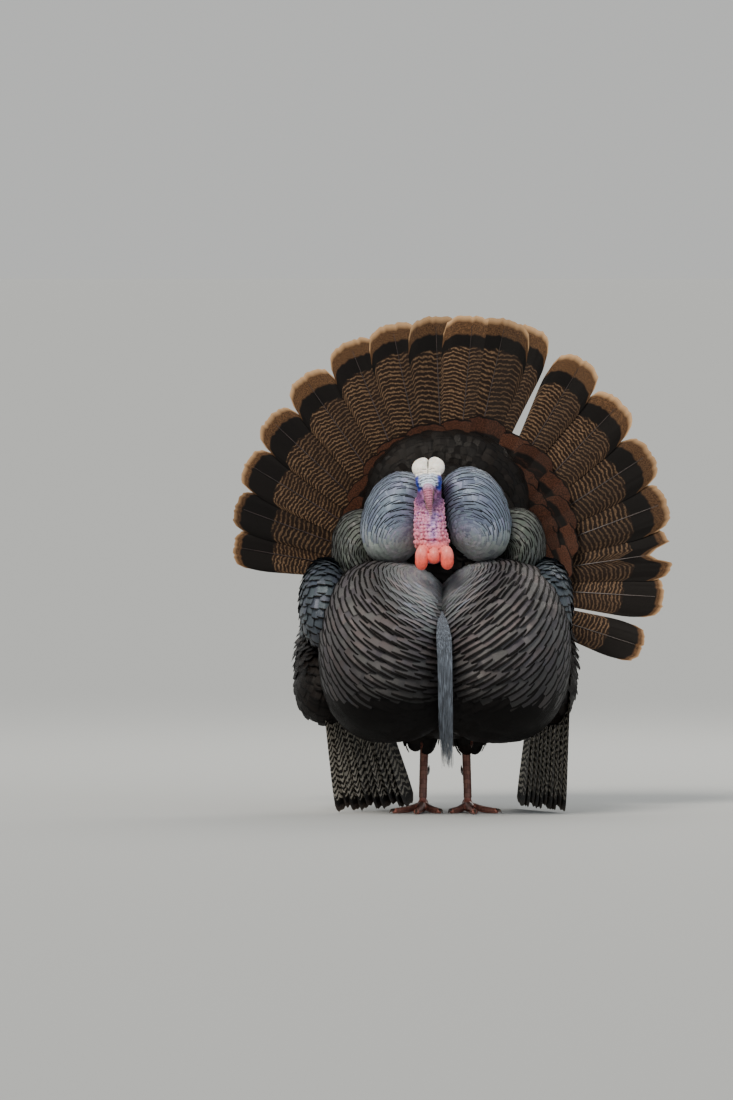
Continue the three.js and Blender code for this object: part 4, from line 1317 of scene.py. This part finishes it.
def tubes(name, grids, material):
    """Joins grids of n x rows x around into closed tubes, with the seam column left out."""
    points, faces, start = [], [], 0
    for grid in grids:
        count, rows, around = grid.shape[:3]
        around -= 1
        grid = grid[:, :, :around]
        index = np.arange(rows * around).reshape(rows, around)
        ahead = np.roll(index, -1, axis=1)
        quads = np.stack([index[:-1], ahead[:-1], ahead[1:], index[1:]], axis=-1).reshape(-1, 4)
        shift = start + np.arange(count)[:, None, None] * rows * around
        ends = [index[0][::-1].tolist(), index[-1].tolist()]
        for k in range(count):
            faces += (quads + shift[k]).tolist()
            faces += [[i + int(shift[k, 0, 0]) for i in end] for end in ends]
        points.append(grid.reshape(-1, 3))
        start += len(points[-1])
    mesh = bpy.data.meshes.new(name)
    mesh.from_pydata(world(np.concatenate(points)).tolist(), [], faces)
    mesh.polygons.foreach_set("use_smooth", np.ones(len(mesh.polygons), bool))
    mesh.set_sharp_from_angle(angle=math.radians(60))
    mesh.materials.append(material)
    piece = bpy.data.objects.new(name, mesh)
    bpy.context.scene.collection.objects.link(piece)
    work = bmesh.new()
    work.from_mesh(mesh)
    bmesh.ops.recalc_face_normals(work, faces=work.faces)
    work.to_mesh(mesh)
    work.free()
    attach(piece, "root")
    print(name, len(mesh.polygons), "faces")
    return piece


# %% [markdown]
# Each quill of the tail is painted across: a buff fringe, a freckled brown band, a broad black bar,
# and from there to the root a dark brown ground crossed by wavy buff bars 6 to 8 mm apart. The bars
# break up into freckles. All of it is worked out from the distance to the tip and to the shaft.


# %% Barred vanes
QUILL_BARB = 1.2  # mm from barb to barb, coarser than the real ones, or they wouldn't show


def barred_material(name, ground, bar, tip_colour, fringe, spacing, slant=0.3, freckle=0.55,
                    share=(0.15, 0.75), fringe_softness=9.0, outlined=False):
    """Tint holds where the fringe, the brown band and the black bar end, in units of 100 mm."""
    made, tree = new_material(name)
    vane = put(tree, "ShaderNodeAttribute", {}, output=1, attribute_name="Vane")
    across, from_tip, from_side = (
        put(tree, "ShaderNodeSeparateXYZ", {"Vector": vane}, output=i) for i in range(3)
    )
    chance = put(tree, "ShaderNodeAttribute", {}, output=2, attribute_name="Chance")
    limits = put(tree, "ShaderNodeAttribute", {}, output=1, attribute_name="Tint")
    limits = [put(tree, "ShaderNodeSeparateXYZ", {"Vector": limits}, output=i) for i in range(3)]
    ends = [put(tree, "ShaderNodeMath", {0: limit, 1: 100.0}, operation="MULTIPLY") for limit in limits]
    own = put(tree, "ShaderNodeMath", {0: chance, 1: 700.0}, operation="MULTIPLY")
    spot = put(tree, "ShaderNodeCombineXYZ", {"X": across, "Y": from_tip, "Z": own})
    lumps = put(tree, "ShaderNodeTexNoise", {"Vector": spot, "Scale": 0.16, "Detail": 3.0})
    specks = put(tree, "ShaderNodeTexNoise", {"Vector": spot, "Scale": 0.62, "Detail": 2.0, "Roughness": 0.6})
    aside = put(tree, "ShaderNodeMath", {0: across}, operation="ABSOLUTE")
    bent = put(tree, "ShaderNodeMath", {0: aside, 1: slant, 2: from_tip}, operation="MULTIPLY_ADD")
    wandered = put(tree, "ShaderNodeMath", {0: lumps, 1: spacing * 1.1, 2: bent}, operation="MULTIPLY_ADD")
    pitch = put(tree, "ShaderNodeMapRange", {"Value": chance, "To Min": 5.4 / spacing,
                                             "To Max": 7.4 / spacing})
    phase = put(tree, "ShaderNodeMath", {0: wandered, 1: pitch}, operation="MULTIPLY")
    wave = put(tree, "ShaderNodeMath", {0: phase}, operation="SINE")
    bars = put(tree, "ShaderNodeMapRange", {"Value": wave, "From Min": share[0], "From Max": share[1]})
    freckles = put(tree, "ShaderNodeMapRange", {"Value": specks, "From Min": 0.42, "From Max": 0.6,
                                                "To Min": 1 - freckle})
    light = put(tree, "ShaderNodeMath", {0: bars, 1: freckles}, operation="MULTIPLY")
    # The vane on one side of the shaft is plainer than on the other.
    plain = put(tree, "ShaderNodeMapRange", {"Value": across, "From Min": -14.0, "From Max": 10.0,
                                             "To Min": 0.55})
    shown = put(tree, "ShaderNodeMath", {0: light, 1: plain}, operation="MULTIPLY")
    barred = put(tree, "ShaderNodeMix", {"Factor": shown, 6: linear(ground), 7: linear(bar)}, output=2,
                 data_type="RGBA")
    edge_wander = put(tree, "ShaderNodeMath", {0: specks, 1: 5.0, 2: from_tip}, operation="MULTIPLY_ADD")
    edge_wander = put(tree, "ShaderNodeMath", {0: edge_wander, 1: 2.5}, operation="SUBTRACT")
    brown = put(tree, "ShaderNodeMix", {"Factor": freckles, 6: linear("#1E140E"), 7: linear(tip_colour)},
                output=2, data_type="RGBA")
    outline = edge_wander
    if outlined:
        outline = put(tree, "ShaderNodeMath", {0: from_tip, 1: from_side}, operation="MINIMUM")
    colour = barred
    steps = (  # from the bars outwards: the black bar, the brown band and the fringe
        (ends[2], edge_wander, linear("#0E0A08"), 3.0),
        (ends[1], edge_wander, brown, 3.0),
        (ends[0], outline, linear(fringe), fringe_softness),
    )
    for end, reach, paint_colour, softness in steps:
        soft = put(tree, "ShaderNodeMath", {0: end, 1: softness}, operation="SUBTRACT")
        outside = put(tree, "ShaderNodeMapRange", {"Value": reach, "From Min": soft, "From Max": end})
        colour = put(tree, "ShaderNodeMix", {"Factor": outside, 6: paint_colour, 7: colour}, output=2,
                     data_type="RGBA")
    slope = put(tree, "ShaderNodeMath", {0: aside, 1: 1.3, 2: from_tip}, operation="MULTIPLY_ADD")
    barb_phase = put(tree, "ShaderNodeMath", {0: slope, 1: 2 * math.pi / QUILL_BARB}, operation="MULTIPLY")
    barbs = put(tree, "ShaderNodeMath", {0: barb_phase}, operation="SINE")
    weave = put(tree, "ShaderNodeMapRange", {"Value": barbs, "From Min": -1.0,
                                             "To Min": 0.86, "To Max": 1.08})
    level = put(tree, "ShaderNodeMapRange", {"Value": chance, "To Min": 0.69, "To Max": 1.1})
    level = put(tree, "ShaderNodeMath", {0: weave, 1: level}, operation="MULTIPLY")
    woven = put(tree, "ShaderNodeVectorMath", {0: colour, "Scale": level}, operation="SCALE")
    bump = put(tree, "ShaderNodeBump", {"Height": barbs, "Strength": 0.4, "Distance": 0.0002})
    surface(tree, {"Base Color": woven, "Roughness": 0.55, "Normal": bump, "Specular IOR Level": 0.16})
    return made


tail_vanes = barred_material(
    "barred tail quills", "#241811", "#84694F", "#6B4D33", "#CDA57A", 7.0, freckle=0.7)
covert_vanes = barred_material(
    "chestnut tail coverts", "#160C08", "#362118", "#563425", "#0B0706", 8.0, freckle=0.75,
    fringe_softness=1.4, outlined=True)
wing_vanes = barred_material(
    "black and white wing quills", "#221D1A", "#C9C2B4", "#3A302A", "#8F8372", 10.5,
    slant=0.7, freckle=0.2, share=(0.1, 0.4))
secondary_vanes = barred_material(
    "brown barred wing quills", "#2B231E", "#A8977E", "#4A3C31", "#B5A78D", 9.0,
    slant=0.5, freckle=0.45, share=(0.05, 0.5))
print("four barred finishes for quills and coverts")

# %% Shaft material
shaft_horn, tree = new_material("violet-brown feather shafts")
where = put(tree, "ShaderNodeTexCoord", {}, output=3)
streak = put(tree, "ShaderNodeTexNoise", {"Vector": where, "Scale": 60.0, "Detail": 2.0})
tone = put(tree, "ShaderNodeValToRGB", {"Fac": streak}, stops=[(0.3, "#1E1613"), (0.7, "#433634")])
surface(tree, {"Base Color": tone, "Roughness": 0.35})

# %% [markdown]
# The quills stand on an arc round the tail's root. Their fringe, brown band and black bar get
# narrower towards the fan's edges, and two quills taper more, so that the fan has one open gap.

# %% Tail quills
ROOT_OUT = 24.0  # mm from the fan's pivot to where the vanes begin
GAP_QUILLS = [10, 11]  # the two beside the fan's one open gap
degrees = np.array(QUILL_DEGREES)
number = np.arange(len(degrees))
off = off_axis(degrees)
ways, facing = fan_way(degrees), fan_front(degrees)
behind = QUILL_STEP * np.abs(number - number.mean())
roots = TAIL_ROOT + ways * ROOT_OUT + np.outer(behind, [0, 1, 0])
lengths = quill_length(degrees) - ROOT_OUT
limits = np.stack([
    11.0 - 5 * smoothstep(0.55, 0.95, off),
    31 - 18 * smoothstep(0.5, 0.9, off),
    55 + 9 * smoothstep(0.2, 0.7, off),
], axis=-1) / 100
limits *= dice.uniform(0.92, 1.08, limits.shape)
widths = QUILL_WIDTH * (1 - NARROWER_AT_EDGE * off**1.5)
widths[GAP_QUILLS] -= 12
tapers = np.where(np.isin(number, GAP_QUILLS), 1.5, 0.9)
tail_coat = Coat("tail_fan_vanes")
blades(tail_coat, roots, ways, facing, lengths, widths, 44, 19,
       tint=limits, cell=((0, 0), 1.0), taper=tapers, split=SPLIT_QUILL)
tail_coat.build(tail_vanes, "tail_quills", "tail_fan")
reach = np.where(number == SPLIT_QUILL, 0.89, SHAFT_REACH)
quill_shafts = [shafts(roots - ways * 4, ways, facing, lengths, 2.0, reach=reach)]

# %% [markdown]
# Over the front of the fan lie the upper tail coverts, five rings of shorter chestnut feathers.
# Behind it the under tail coverts close the back. Both are blades too, laid ring by ring from the
# outside in, so that each ring covers the roots of the one before.

# %% Tail coverts
COVERT_RINGS = [(1.0, 19), (0.84, 19), (0.68, 18), (0.52, 16), (0.38, 14)]  # share of the reach, count
COVERT_LIMITS = np.array([0.03, 0.25, 0.36])  # as the quills' limits, in units of 100 mm
coverts = Coat("tail_covert_vanes")
for ring_index, (share, count) in enumerate(COVERT_RINGS):
    degrees = np.linspace(-21, 173, count) + dice.uniform(-2, 2, count) + 2.5 * (ring_index % 2)
    ways, facing = fan_way(degrees), fan_front(degrees)
    spread = np.minimum(1.6, off_axis(degrees) * 1.86) ** 1.5
    reach = (280 - 46 * spread) * share * dice.uniform(0.97, 1.02, count)
    length = np.minimum(reach * 0.8, 150)
    forward = 3.0 + 22 * (1 - (reach - 50) / 232)
    lie = np.outer(-forward, [0, 1, 0])
    lie[:, 1] -= 1.6 * (np.arange(count) % 2)
    roots = TAIL_ROOT + ways * (reach - length)[:, None] + lie + facing * -4
    tints = COVERT_LIMITS * dice.uniform(0.75, 1.25, (count, 1))
    width = np.clip(reach * 0.33, 34, 78)
    blades(coverts, roots, ways, facing, length, width, 10, 11,
           tint=tints, cell=((0.2 * ring_index, 0), 0.19), root_width=0.5, tip=0.34, bend=2.5)
coverts.build(covert_vanes, "tail_covert_plumage", "tail_coverts")

# %% Under tail coverts
UNDER_RINGS = [(1.0, 15), (0.8, 15), (0.6, 13), (0.42, 11)]
UNDER_LIMITS = np.array([0.016, 0.18, 0.3])
undertail = Coat("undertail_vanes")
for ring_index, (share, count) in enumerate(UNDER_RINGS):
    degrees = np.linspace(-18, 170, count) + dice.uniform(-2, 2, count)
    off = off_axis(degrees)
    ways, facing = fan_way(degrees), -fan_front(degrees)
    reach = (205 - 55 * off) * share
    length = np.minimum(reach * 0.85, 120)
    puff = 46 * np.sqrt(np.maximum(0, 1 - share**2.4)) + 4
    back = 6 + 30 * off + puff
    roots = TAIL_ROOT + ways * (reach - length)[:, None]
    roots[:, 1] += back + 8
    tints = UNDER_LIMITS * dice.uniform(0.85, 1.15, (count, 1))
    width = np.clip(reach * 0.36, 34, 66)
    blades(undertail, roots, ways, facing, length, width, 9, 7,
           tint=tints, cell=((0.2 * ring_index, 0.2), 0.19), root_width=0.5, tip=0.34, bend=-6)
undertail.build(covert_vanes, "undertail_plumage", "undertail")

# %% [markdown]
# In the strut each wing is lowered until the ends of its primaries drag on the floor. They hang
# like the slats of a blind, black with white bars. The browner secondaries fold over them, and the
# coats of the arm and the flank hide where both rows leave the wing.

# %% Wing quills
WING_BEND = -2.0  # mm, how far the tips curve in
QUILL_ROWS = {  # quills, width against their spacing, material, fringe, band and bar, offset in mm
    "primaries": (10, 2.3, wing_vanes, [0.03, 0.1, 0.2], (5.0, -5.5)),
    "secondaries": (12, 2.5, secondary_vanes, [0.03, 0.06, 0.09], (3.0, 3.5)),
}
WING_ROWS = {  # root and tip of the first quill, then of the last
    ("primaries", "right"): [[(-180, -50, 236), (-152, -20, 3)], [(-118, 92, 240), (-46, 140, 3)]],
    ("secondaries", "right"): [[(-192, 4, 216), (-168, 168, 112)], [(-158, 70, 338), (-138, 206, 262)]],
    ("primaries", "left"): [[(205, -50, 236), (196, -20, 3)], [(160, 84, 250), (138, 128, 3)]],
    ("secondaries", "left"): [[(189, 4, 216), (176, 168, 112)], [(152, 70, 338), (132, 206, 262)]],
}
for (row_name, side_name), (first, last) in WING_ROWS.items():
    sign = SIGN[side_name]
    count, broadness, material, limits, (offset, offset_gain) = QUILL_ROWS[row_name]
    first, last = np.array(first, float), np.array(last, float)
    u = (np.linspace(0, 1, count) + dice.uniform(-0.015, 0.015, count))[:, None]
    roots, tips = first[0] + (last[0] - first[0]) * u, first[1] + (last[1] - first[1]) * u
    if row_name == "primaries":  # these end just over the floor, every third one a little higher
        tips[:, 2] = np.linspace(3.5, 5.5, count) + 6 * (np.arange(count) % 3 == 1)
    ways = unit(tips - roots)
    step = unit(last.mean(0) - first.mean(0))
    facing = unit(np.cross(ways, step) * sign)
    facing *= np.sign(facing[:, :1]) * sign
    apart = np.linalg.norm(last.mean(0) - first.mean(0)) / (count - 1)
    roots = roots + facing * (offset + offset_gain * u)
    length = np.linalg.norm(tips - roots, axis=1)
    row = Coat(f"{row_name}_{side_name}_vanes")
    tints = np.tile(limits, (count, 1))
    blades(row, roots, ways, facing, length, apart * broadness, 30, 9,
           tint=tints, cell=((0, 0), 1.0), root_width=0.5, tip=0.36, bend=WING_BEND, camber=0.05)
    row.build(material, "flight_quills", f"{row_name}_{side_name}")
    quill_shafts.append(shafts(roots, ways, facing, length, 1.3, bend=WING_BEND))
tubes("quill_shafts", quill_shafts, shaft_horn)

# %% [markdown]
# Horn covers the bill, claws and spurs. It is the same stuff as a fingernail: hard, a little
# translucent, and grown in fine layers along its length. Each piece is a tapering tube round its
# own path; the bill's two halves are flat where they close on each other.


# %% Horn
def horn_tube(limb, rows, around, flat=None):
    """A grid of rings round a limb, ready for tubes(). flat is 1 or -1 for a side to flatten."""
    run = np.linspace(0, 1, rows)[:, None] ** 0.9 + np.zeros((1, around))
    angle = np.linspace(0, 2 * math.pi, around)[None] + np.zeros((rows, 1))
    place, _ = limb.surface(run, angle)
    if flat is not None:
        centre = limb.read(limb.centres, run)
        tangent = limb.read(limb.tangents, run)
        up = unit(np.cross(tangent, limb.side))
        depth = ((place - centre) * up).sum(-1, keepdims=True)
        place = place - up * np.where(depth * flat > 0, 0.65 * depth, 0.0)
    return place[None]


def horn_material(name, stops, layer, roughness):
    """Horn in layers that many millimetres thick, drawn thicker than real ones so that they show."""
    made, tree = new_material(name)
    where = put(tree, "ShaderNodeTexCoord", {}, output=3)
    layers = put(tree, "ShaderNodeTexNoise", {"Vector": where, "Scale": 1000 / layer, "Detail": 4.0})
    tone = put(tree, "ShaderNodeValToRGB", {"Fac": layers}, stops=stops)
    bump = put(tree, "ShaderNodeBump", {"Height": layers, "Strength": 0.3, "Distance": 0.0004})
    surface(tree, {"Base Color": tone, "Roughness": roughness, "Normal": bump, "IOR": 1.54,
                   "Coat Weight": 0.15, "Coat Roughness": 0.2})
    return made


bill_horn = horn_material("olive-brown bill horn", [(0.3, "#4F4433"), (0.6, "#8A7656")], 5.0, 0.38)
dark_horn = horn_material("black-brown claw horn", [(0.3, "#1B1512"), (0.7, "#4A3A30")], 4.0, 0.34)
print("two finishes of horn")

# %% The bill's two halves
across_head = HEAD[:3, :3] @ np.array([1.0, 0.0, 0.0])
UPPER_PATH = [(0, -24, 2), (0, -36, 3.4), (0, -49, 2.4), (0, -59, -1.5), (0.2, -64.5, -7.5)]
UPPER_RADII = [(9.0, 6, 7), (8.4, 6, 7), (6.6, 5, 6), (4.4, 3.4, 5), (1.2, 1.0, 4)]
LOWER_PATH = [(0, -22, -9.4), (0, -38, -8.6), (0, -50, -8.4), (0, -57, -9.2)]
LOWER_RADII = [(8.4, 4, 6), (7.2, 3.6, 6), (4.6, 2.6, 5), (1.4, 1.0, 4)]
upper_bill = Limb(in_frame(HEAD, UPPER_PATH), UPPER_RADII, across_head)
lower_bill = Limb(in_frame(HEAD, LOWER_PATH), LOWER_RADII, across_head)
upper = tubes("bill_upper_horn", [horn_tube(upper_bill, 26, 25, flat=-1)], bill_horn)
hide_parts("bill_upper")
lower = tubes("bill_lower_horn", [horn_tube(lower_bill, 20, 21, flat=1)], bill_horn)
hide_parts("bill_lower")

# %% Claws and spurs
CLAW_RADII = [(2.9, 2.7, 3), (2.3, 2.5, 3), (0.45, 0.5, 2.5)]
SPUR_RADII = [(4.6, 4.4, 4), (3.7, 3.6, 4), (2.3, 2.2, 3), (0.4, 0.4, 2.5)]
claws = []
for name in SIGN:
    for toe, (degrees, length, radius, claw) in TOES.items():
        forward, across = toe_ways(name, degrees)
        base = radius * TOE_LIFT
        path = [
            forward * (length - 6) + [0, 0, base + 0.6],
            forward * (length + claw * 0.45) + [0, 0, base + 1.8],
            forward * (length + claw - 0.8) + [0, 0, 1.4],
        ]
        claws.append(horn_tube(Limb(in_frame(foot_frame(name), path), CLAW_RADII, across), 14, 13))
claw_piece = tubes("claws", claws, dark_horn)
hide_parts(*[f"claw_{toe}_{name}" for toe in TOES for name in SIGN])
spurs = []
for name, sign in SIGN.items():
    path = [(-sign * 1, 10, 59), (-sign * 4.2, 24, 62.5), (-sign * 5.6, 31, 67), (-sign * 6, 35.6, 74)]
    spurs.append(horn_tube(Limb(in_frame(foot_frame(name), path), SPUR_RADII), 14, 15))
spur_piece = tubes("spurs", spurs, dark_horn)
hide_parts("spur_right", "spur_left")

# %% [markdown]
# A turkey's eye is nearly black at a glance: a dark brown iris round a wide pupil, under a clear
# wet cornea. It sits as deep as its lids, so only a low dome of it shows.

# %% Eye material
eye_glass, tree = new_material("wet dark brown eye")
from_axis = put(tree, "ShaderNodeAttribute", {}, output=2, attribute_name="From axis")
rings = put(tree, "ShaderNodeMapRange", {"Value": from_axis, "From Max": EYE_RADIUS})
EYE_RINGS = [  # pupil, iris and the dark rim under the lids
    (0.0, "#030202"), (0.36, "#030202"), (0.4, "#4A2A16"), (0.62, "#2A160C"),
    (0.7, "#0C0605"), (1.0, "#0C0605"),
]
tone = put(tree, "ShaderNodeValToRGB", {"Fac": rings}, stops=EYE_RINGS)
surface(tree, {"Base Color": tone, "Roughness": 0.12, "IOR": 1.38,
               "Coat Weight": 1.0, "Coat Roughness": 0.02})

# %% Eyeballs
CORNEA = 0.35  # mm that the cornea stands out
for name, sign in SIGN.items():
    bpy.ops.mesh.primitive_uv_sphere_add(segments=40, ring_count=24, radius=1.0)
    eye = bpy.context.object
    eye.name = f"eyeball_{name}"
    directions = mesh_places(eye)
    facing_out = directions @ unit(np.array([sign * 0.95, -0.28, 0.1]))
    radius = EYE_RADIUS - CORNEA + CORNEA * smoothstep(0.72, 0.95, facing_out)
    set_places(eye, in_frame(HEAD, EYE_AT * [sign, 1, 1] + directions * radius[:, None]))
    from_axis = EYE_RADIUS * np.sqrt(np.clip(1 - facing_out**2, 0, 1)) + 9 * (facing_out < 0)
    store(eye, "From axis", from_axis, "FLOAT")
    choose(eye)
    bpy.ops.object.shade_smooth()
    eye.data.materials.append(eye_glass)
    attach(eye, "root")
    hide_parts(f"eye_{name}")
    print(eye.name, len(eye.data.polygons), "faces")

# %% [markdown]
# The shanks and toes wear scutes, horny plates that overlap like shingles: two broad rows down the
# front of the shank, two behind and a narrow one at each side. Along each toe there is a row of
# cross plates on top and a narrow one at each side. They are built with the same grids as the
# feathers, wrapped round the limbs.


# %% Rows of scutes
SCUTE_THICKNESS = 0.5  # mm


def wrap_scutes(coat, limb, angle, half_angle, pitch, start, end, down, rise=0.55):
    """Plates along a limb, centred on an angle. down is -1 where they overlap towards its start."""
    count = int(limb.length * (end - start) / pitch)
    middles = start + (end - start) * (np.arange(count) + 0.5) / count
    reach = 0.95 * pitch / limb.length
    t = np.linspace(-1, 1, 5)[None, :, None]
    s = np.linspace(-1, 1, 5)[None, None, :]
    run = middles[:, None, None] + down * reach * t * (1 - 0.16 * s**2)
    turn = angle + down * half_angle * s * (1 - 0.12 * t**2)
    run, turn = np.broadcast_arrays(np.clip(run, 0, 1), turn)
    place, out = limb.surface(run, turn)
    height = -0.25 + rise * (0.5 + 0.5 * t) - 0.5 * np.abs(s) ** 3 + 0.12 * (1 - s**2)
    top = place + out * (height + dice.uniform(-0.08, 0.08, (count, 1, 1)))[..., None]
    vane = np.stack(np.broadcast_arrays(s * 3, pitch * (1 - t), pitch * (1 - np.abs(s))), axis=-1)
    tints = blend_hex("#6E473F", "#94675A", dice.random(count))
    cell = np.array([0.05 + 0.9 * dice.random(), 0.05])
    where = cell + np.stack([0 * middles, 0.9 * middles], axis=-1)
    patch = np.stack(np.broadcast_arrays(s * PATCH / 2, t * PATCH / 2), axis=-1)
    coat.add(top, out, SCUTE_THICKNESS, vane, tints, np.full((count, 1), 0.3), where[:, None, None] + patch)


# %% Scute material
scale_horn, tree = new_material("rosy brown leg scutes")
vane = put(tree, "ShaderNodeAttribute", {}, output=1, attribute_name="Vane")
from_end, from_side = (put(tree, "ShaderNodeSeparateXYZ", {"Vector": vane}, output=i) for i in (1, 2))
tint = put(tree, "ShaderNodeAttribute", {}, attribute_name="Tint")
where = put(tree, "ShaderNodeTexCoord", {}, output=3)
scute_noise = put(tree, "ShaderNodeTexNoise", {"Vector": where, "Scale": 1 / 0.002, "Detail": 4.0})
# each scute is darker within about two millimetres of its end and sides, the line wavered by noise
rim = put(tree, "ShaderNodeMath", {0: from_end, 1: from_side}, operation="MINIMUM")
rim_and_noise = put(tree, "ShaderNodeMath", {0: scute_noise, 1: 1.5, 2: rim}, operation="MULTIPLY_ADD")
rim_darkening = put(tree, "ShaderNodeMapRange", {"Value": rim_and_noise, "From Min": 0.7, "From Max": 2.2, "To Min": 0.45})
tinted = put(tree, "ShaderNodeVectorMath", {0: tint, "Scale": rim_darkening}, operation="SCALE")
bump = put(tree, "ShaderNodeBump", {"Height": scute_noise, "Strength": 0.35, "Distance": 0.0003})
surface(tree, {"Base Color": tinted, "Roughness": 0.48, "Normal": bump, "IOR": 1.5})

# %% Scutes of the legs
SHANK_ROWS = [  # middle and half-width of a row, in radians from the back, and its pitch in mm
    (math.pi - 0.52, 0.6, 7.0), (math.pi + 0.52, 0.6, 7.0), (-0.5, 0.55, 6.0), (0.5, 0.55, 6.0),
    (math.pi / 2, 0.5, 4.5), (-math.pi / 2, 0.5, 4.5),
]
scutes = Coat("leg_scutes")
for (part, name), limb in limbs.items():
    if part == "shank":
        for angle, half, pitch in SHANK_ROWS:
            wrap_scutes(scutes, limb, angle, half, pitch, 0.1, 0.8, -1)
    else:
        wrap_scutes(scutes, limb, 0.0, 1.05, 3.8, 0.14, 0.97, 1)
        for angle in (-1.5, 1.5):
            wrap_scutes(scutes, limb, angle, 0.5, 3.4, 0.2, 0.97, 1, rise=0.4)
scutes.build(scale_horn, "leg_scale")

# %% [markdown]
# The beard isn't hair but a tuft of stiff bristle feathers that grows from the middle of the
# breast and hangs out through the cleft. Some hundreds of thin, slightly wavy bristles, each a
# three-sided sliver, follow one path and end at uneven lengths.

# %% Beard
BEARD = [(4, -190, 328), (8, -236, 292), (10, -251, 240), (11, -247, 170), (14, -236, 78)]
beard_line = Limb(BEARD, [(1, 1, 1)] * 5)
BRISTLES, BRISTLE_ROWS = 460, 15
TUFT_HALF_WIDTH, TUFT_HALF_DEPTH = 13.0, 4.6  # mm
t = np.linspace(0, 1, BRISTLE_ROWS)[None, :]
reach = dice.beta(6, 1.3, BRISTLES)[:, None]
run = (0.02 + 0.98 * reach) * t
around = dice.uniform(0, 2 * math.pi, BRISTLES)[:, None]
rank = np.sqrt(dice.random(BRISTLES))[:, None]
spread = np.minimum(1.0, 0.3 + 3.0 * run) * (1 - 0.25 * run)
wave = 0.8 * np.sin(7 * t + dice.uniform(0, 6.3, (BRISTLES, 1))) * t
centre = beard_line.read(beard_line.centres, run)
centre[..., 0] += TUFT_HALF_WIDTH * rank * np.cos(around) * spread + wave
centre[..., 1] += TUFT_HALF_DEPTH * rank * np.sin(around) * spread + 0.4 * wave
girth = dice.uniform(0.42, 0.62, (BRISTLES, 1)) * (1 - 0.72 * t)
angles = np.linspace(0, 2 * math.pi, 4)[None, None]
circle = np.stack([np.cos(angles), np.sin(angles), 0 * angles], axis=-1)
grid = centre[:, :, None] + girth[..., None, None] * circle
print(BRISTLES, "bristles down to", round(float(grid[..., 2].min())), "mm over the floor")

# %% Bristle material and the beard's piece
bristle_coat, tree = new_material("stiff blue-grey beard bristles")
where = put(tree, "ShaderNodeTexCoord", {}, output=3)
drop = put(tree, "ShaderNodeSeparateXYZ", {"Vector": where}, output=2)
stretched = put(tree, "ShaderNodeMapping", {"Vector": where, "Scale": (700.0, 700.0, 25.0)})
strand = put(tree, "ShaderNodeTexNoise", {"Vector": stretched, "Scale": 1.0, "Detail": 2.0})
BEARD_GREYS = [(0.3, "#26272A"), (0.5, "#565E69"), (0.72, "#8A95A3")]
tone = put(tree, "ShaderNodeValToRGB", {"Fac": strand}, stops=BEARD_GREYS)
low = put(tree, "ShaderNodeMapRange", {"Value": drop, "From Min": 0.07, "From Max": 0.2, "To Min": 0.55})
tinted = put(tree, "ShaderNodeVectorMath", {0: tone, "Scale": low}, operation="SCALE")
surface(tree, {"Base Color": tinted, "Roughness": 0.42, "Sheen Weight": 0.1})
beard = tubes("beard_bristles", [grid], bristle_coat)
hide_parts("beard")
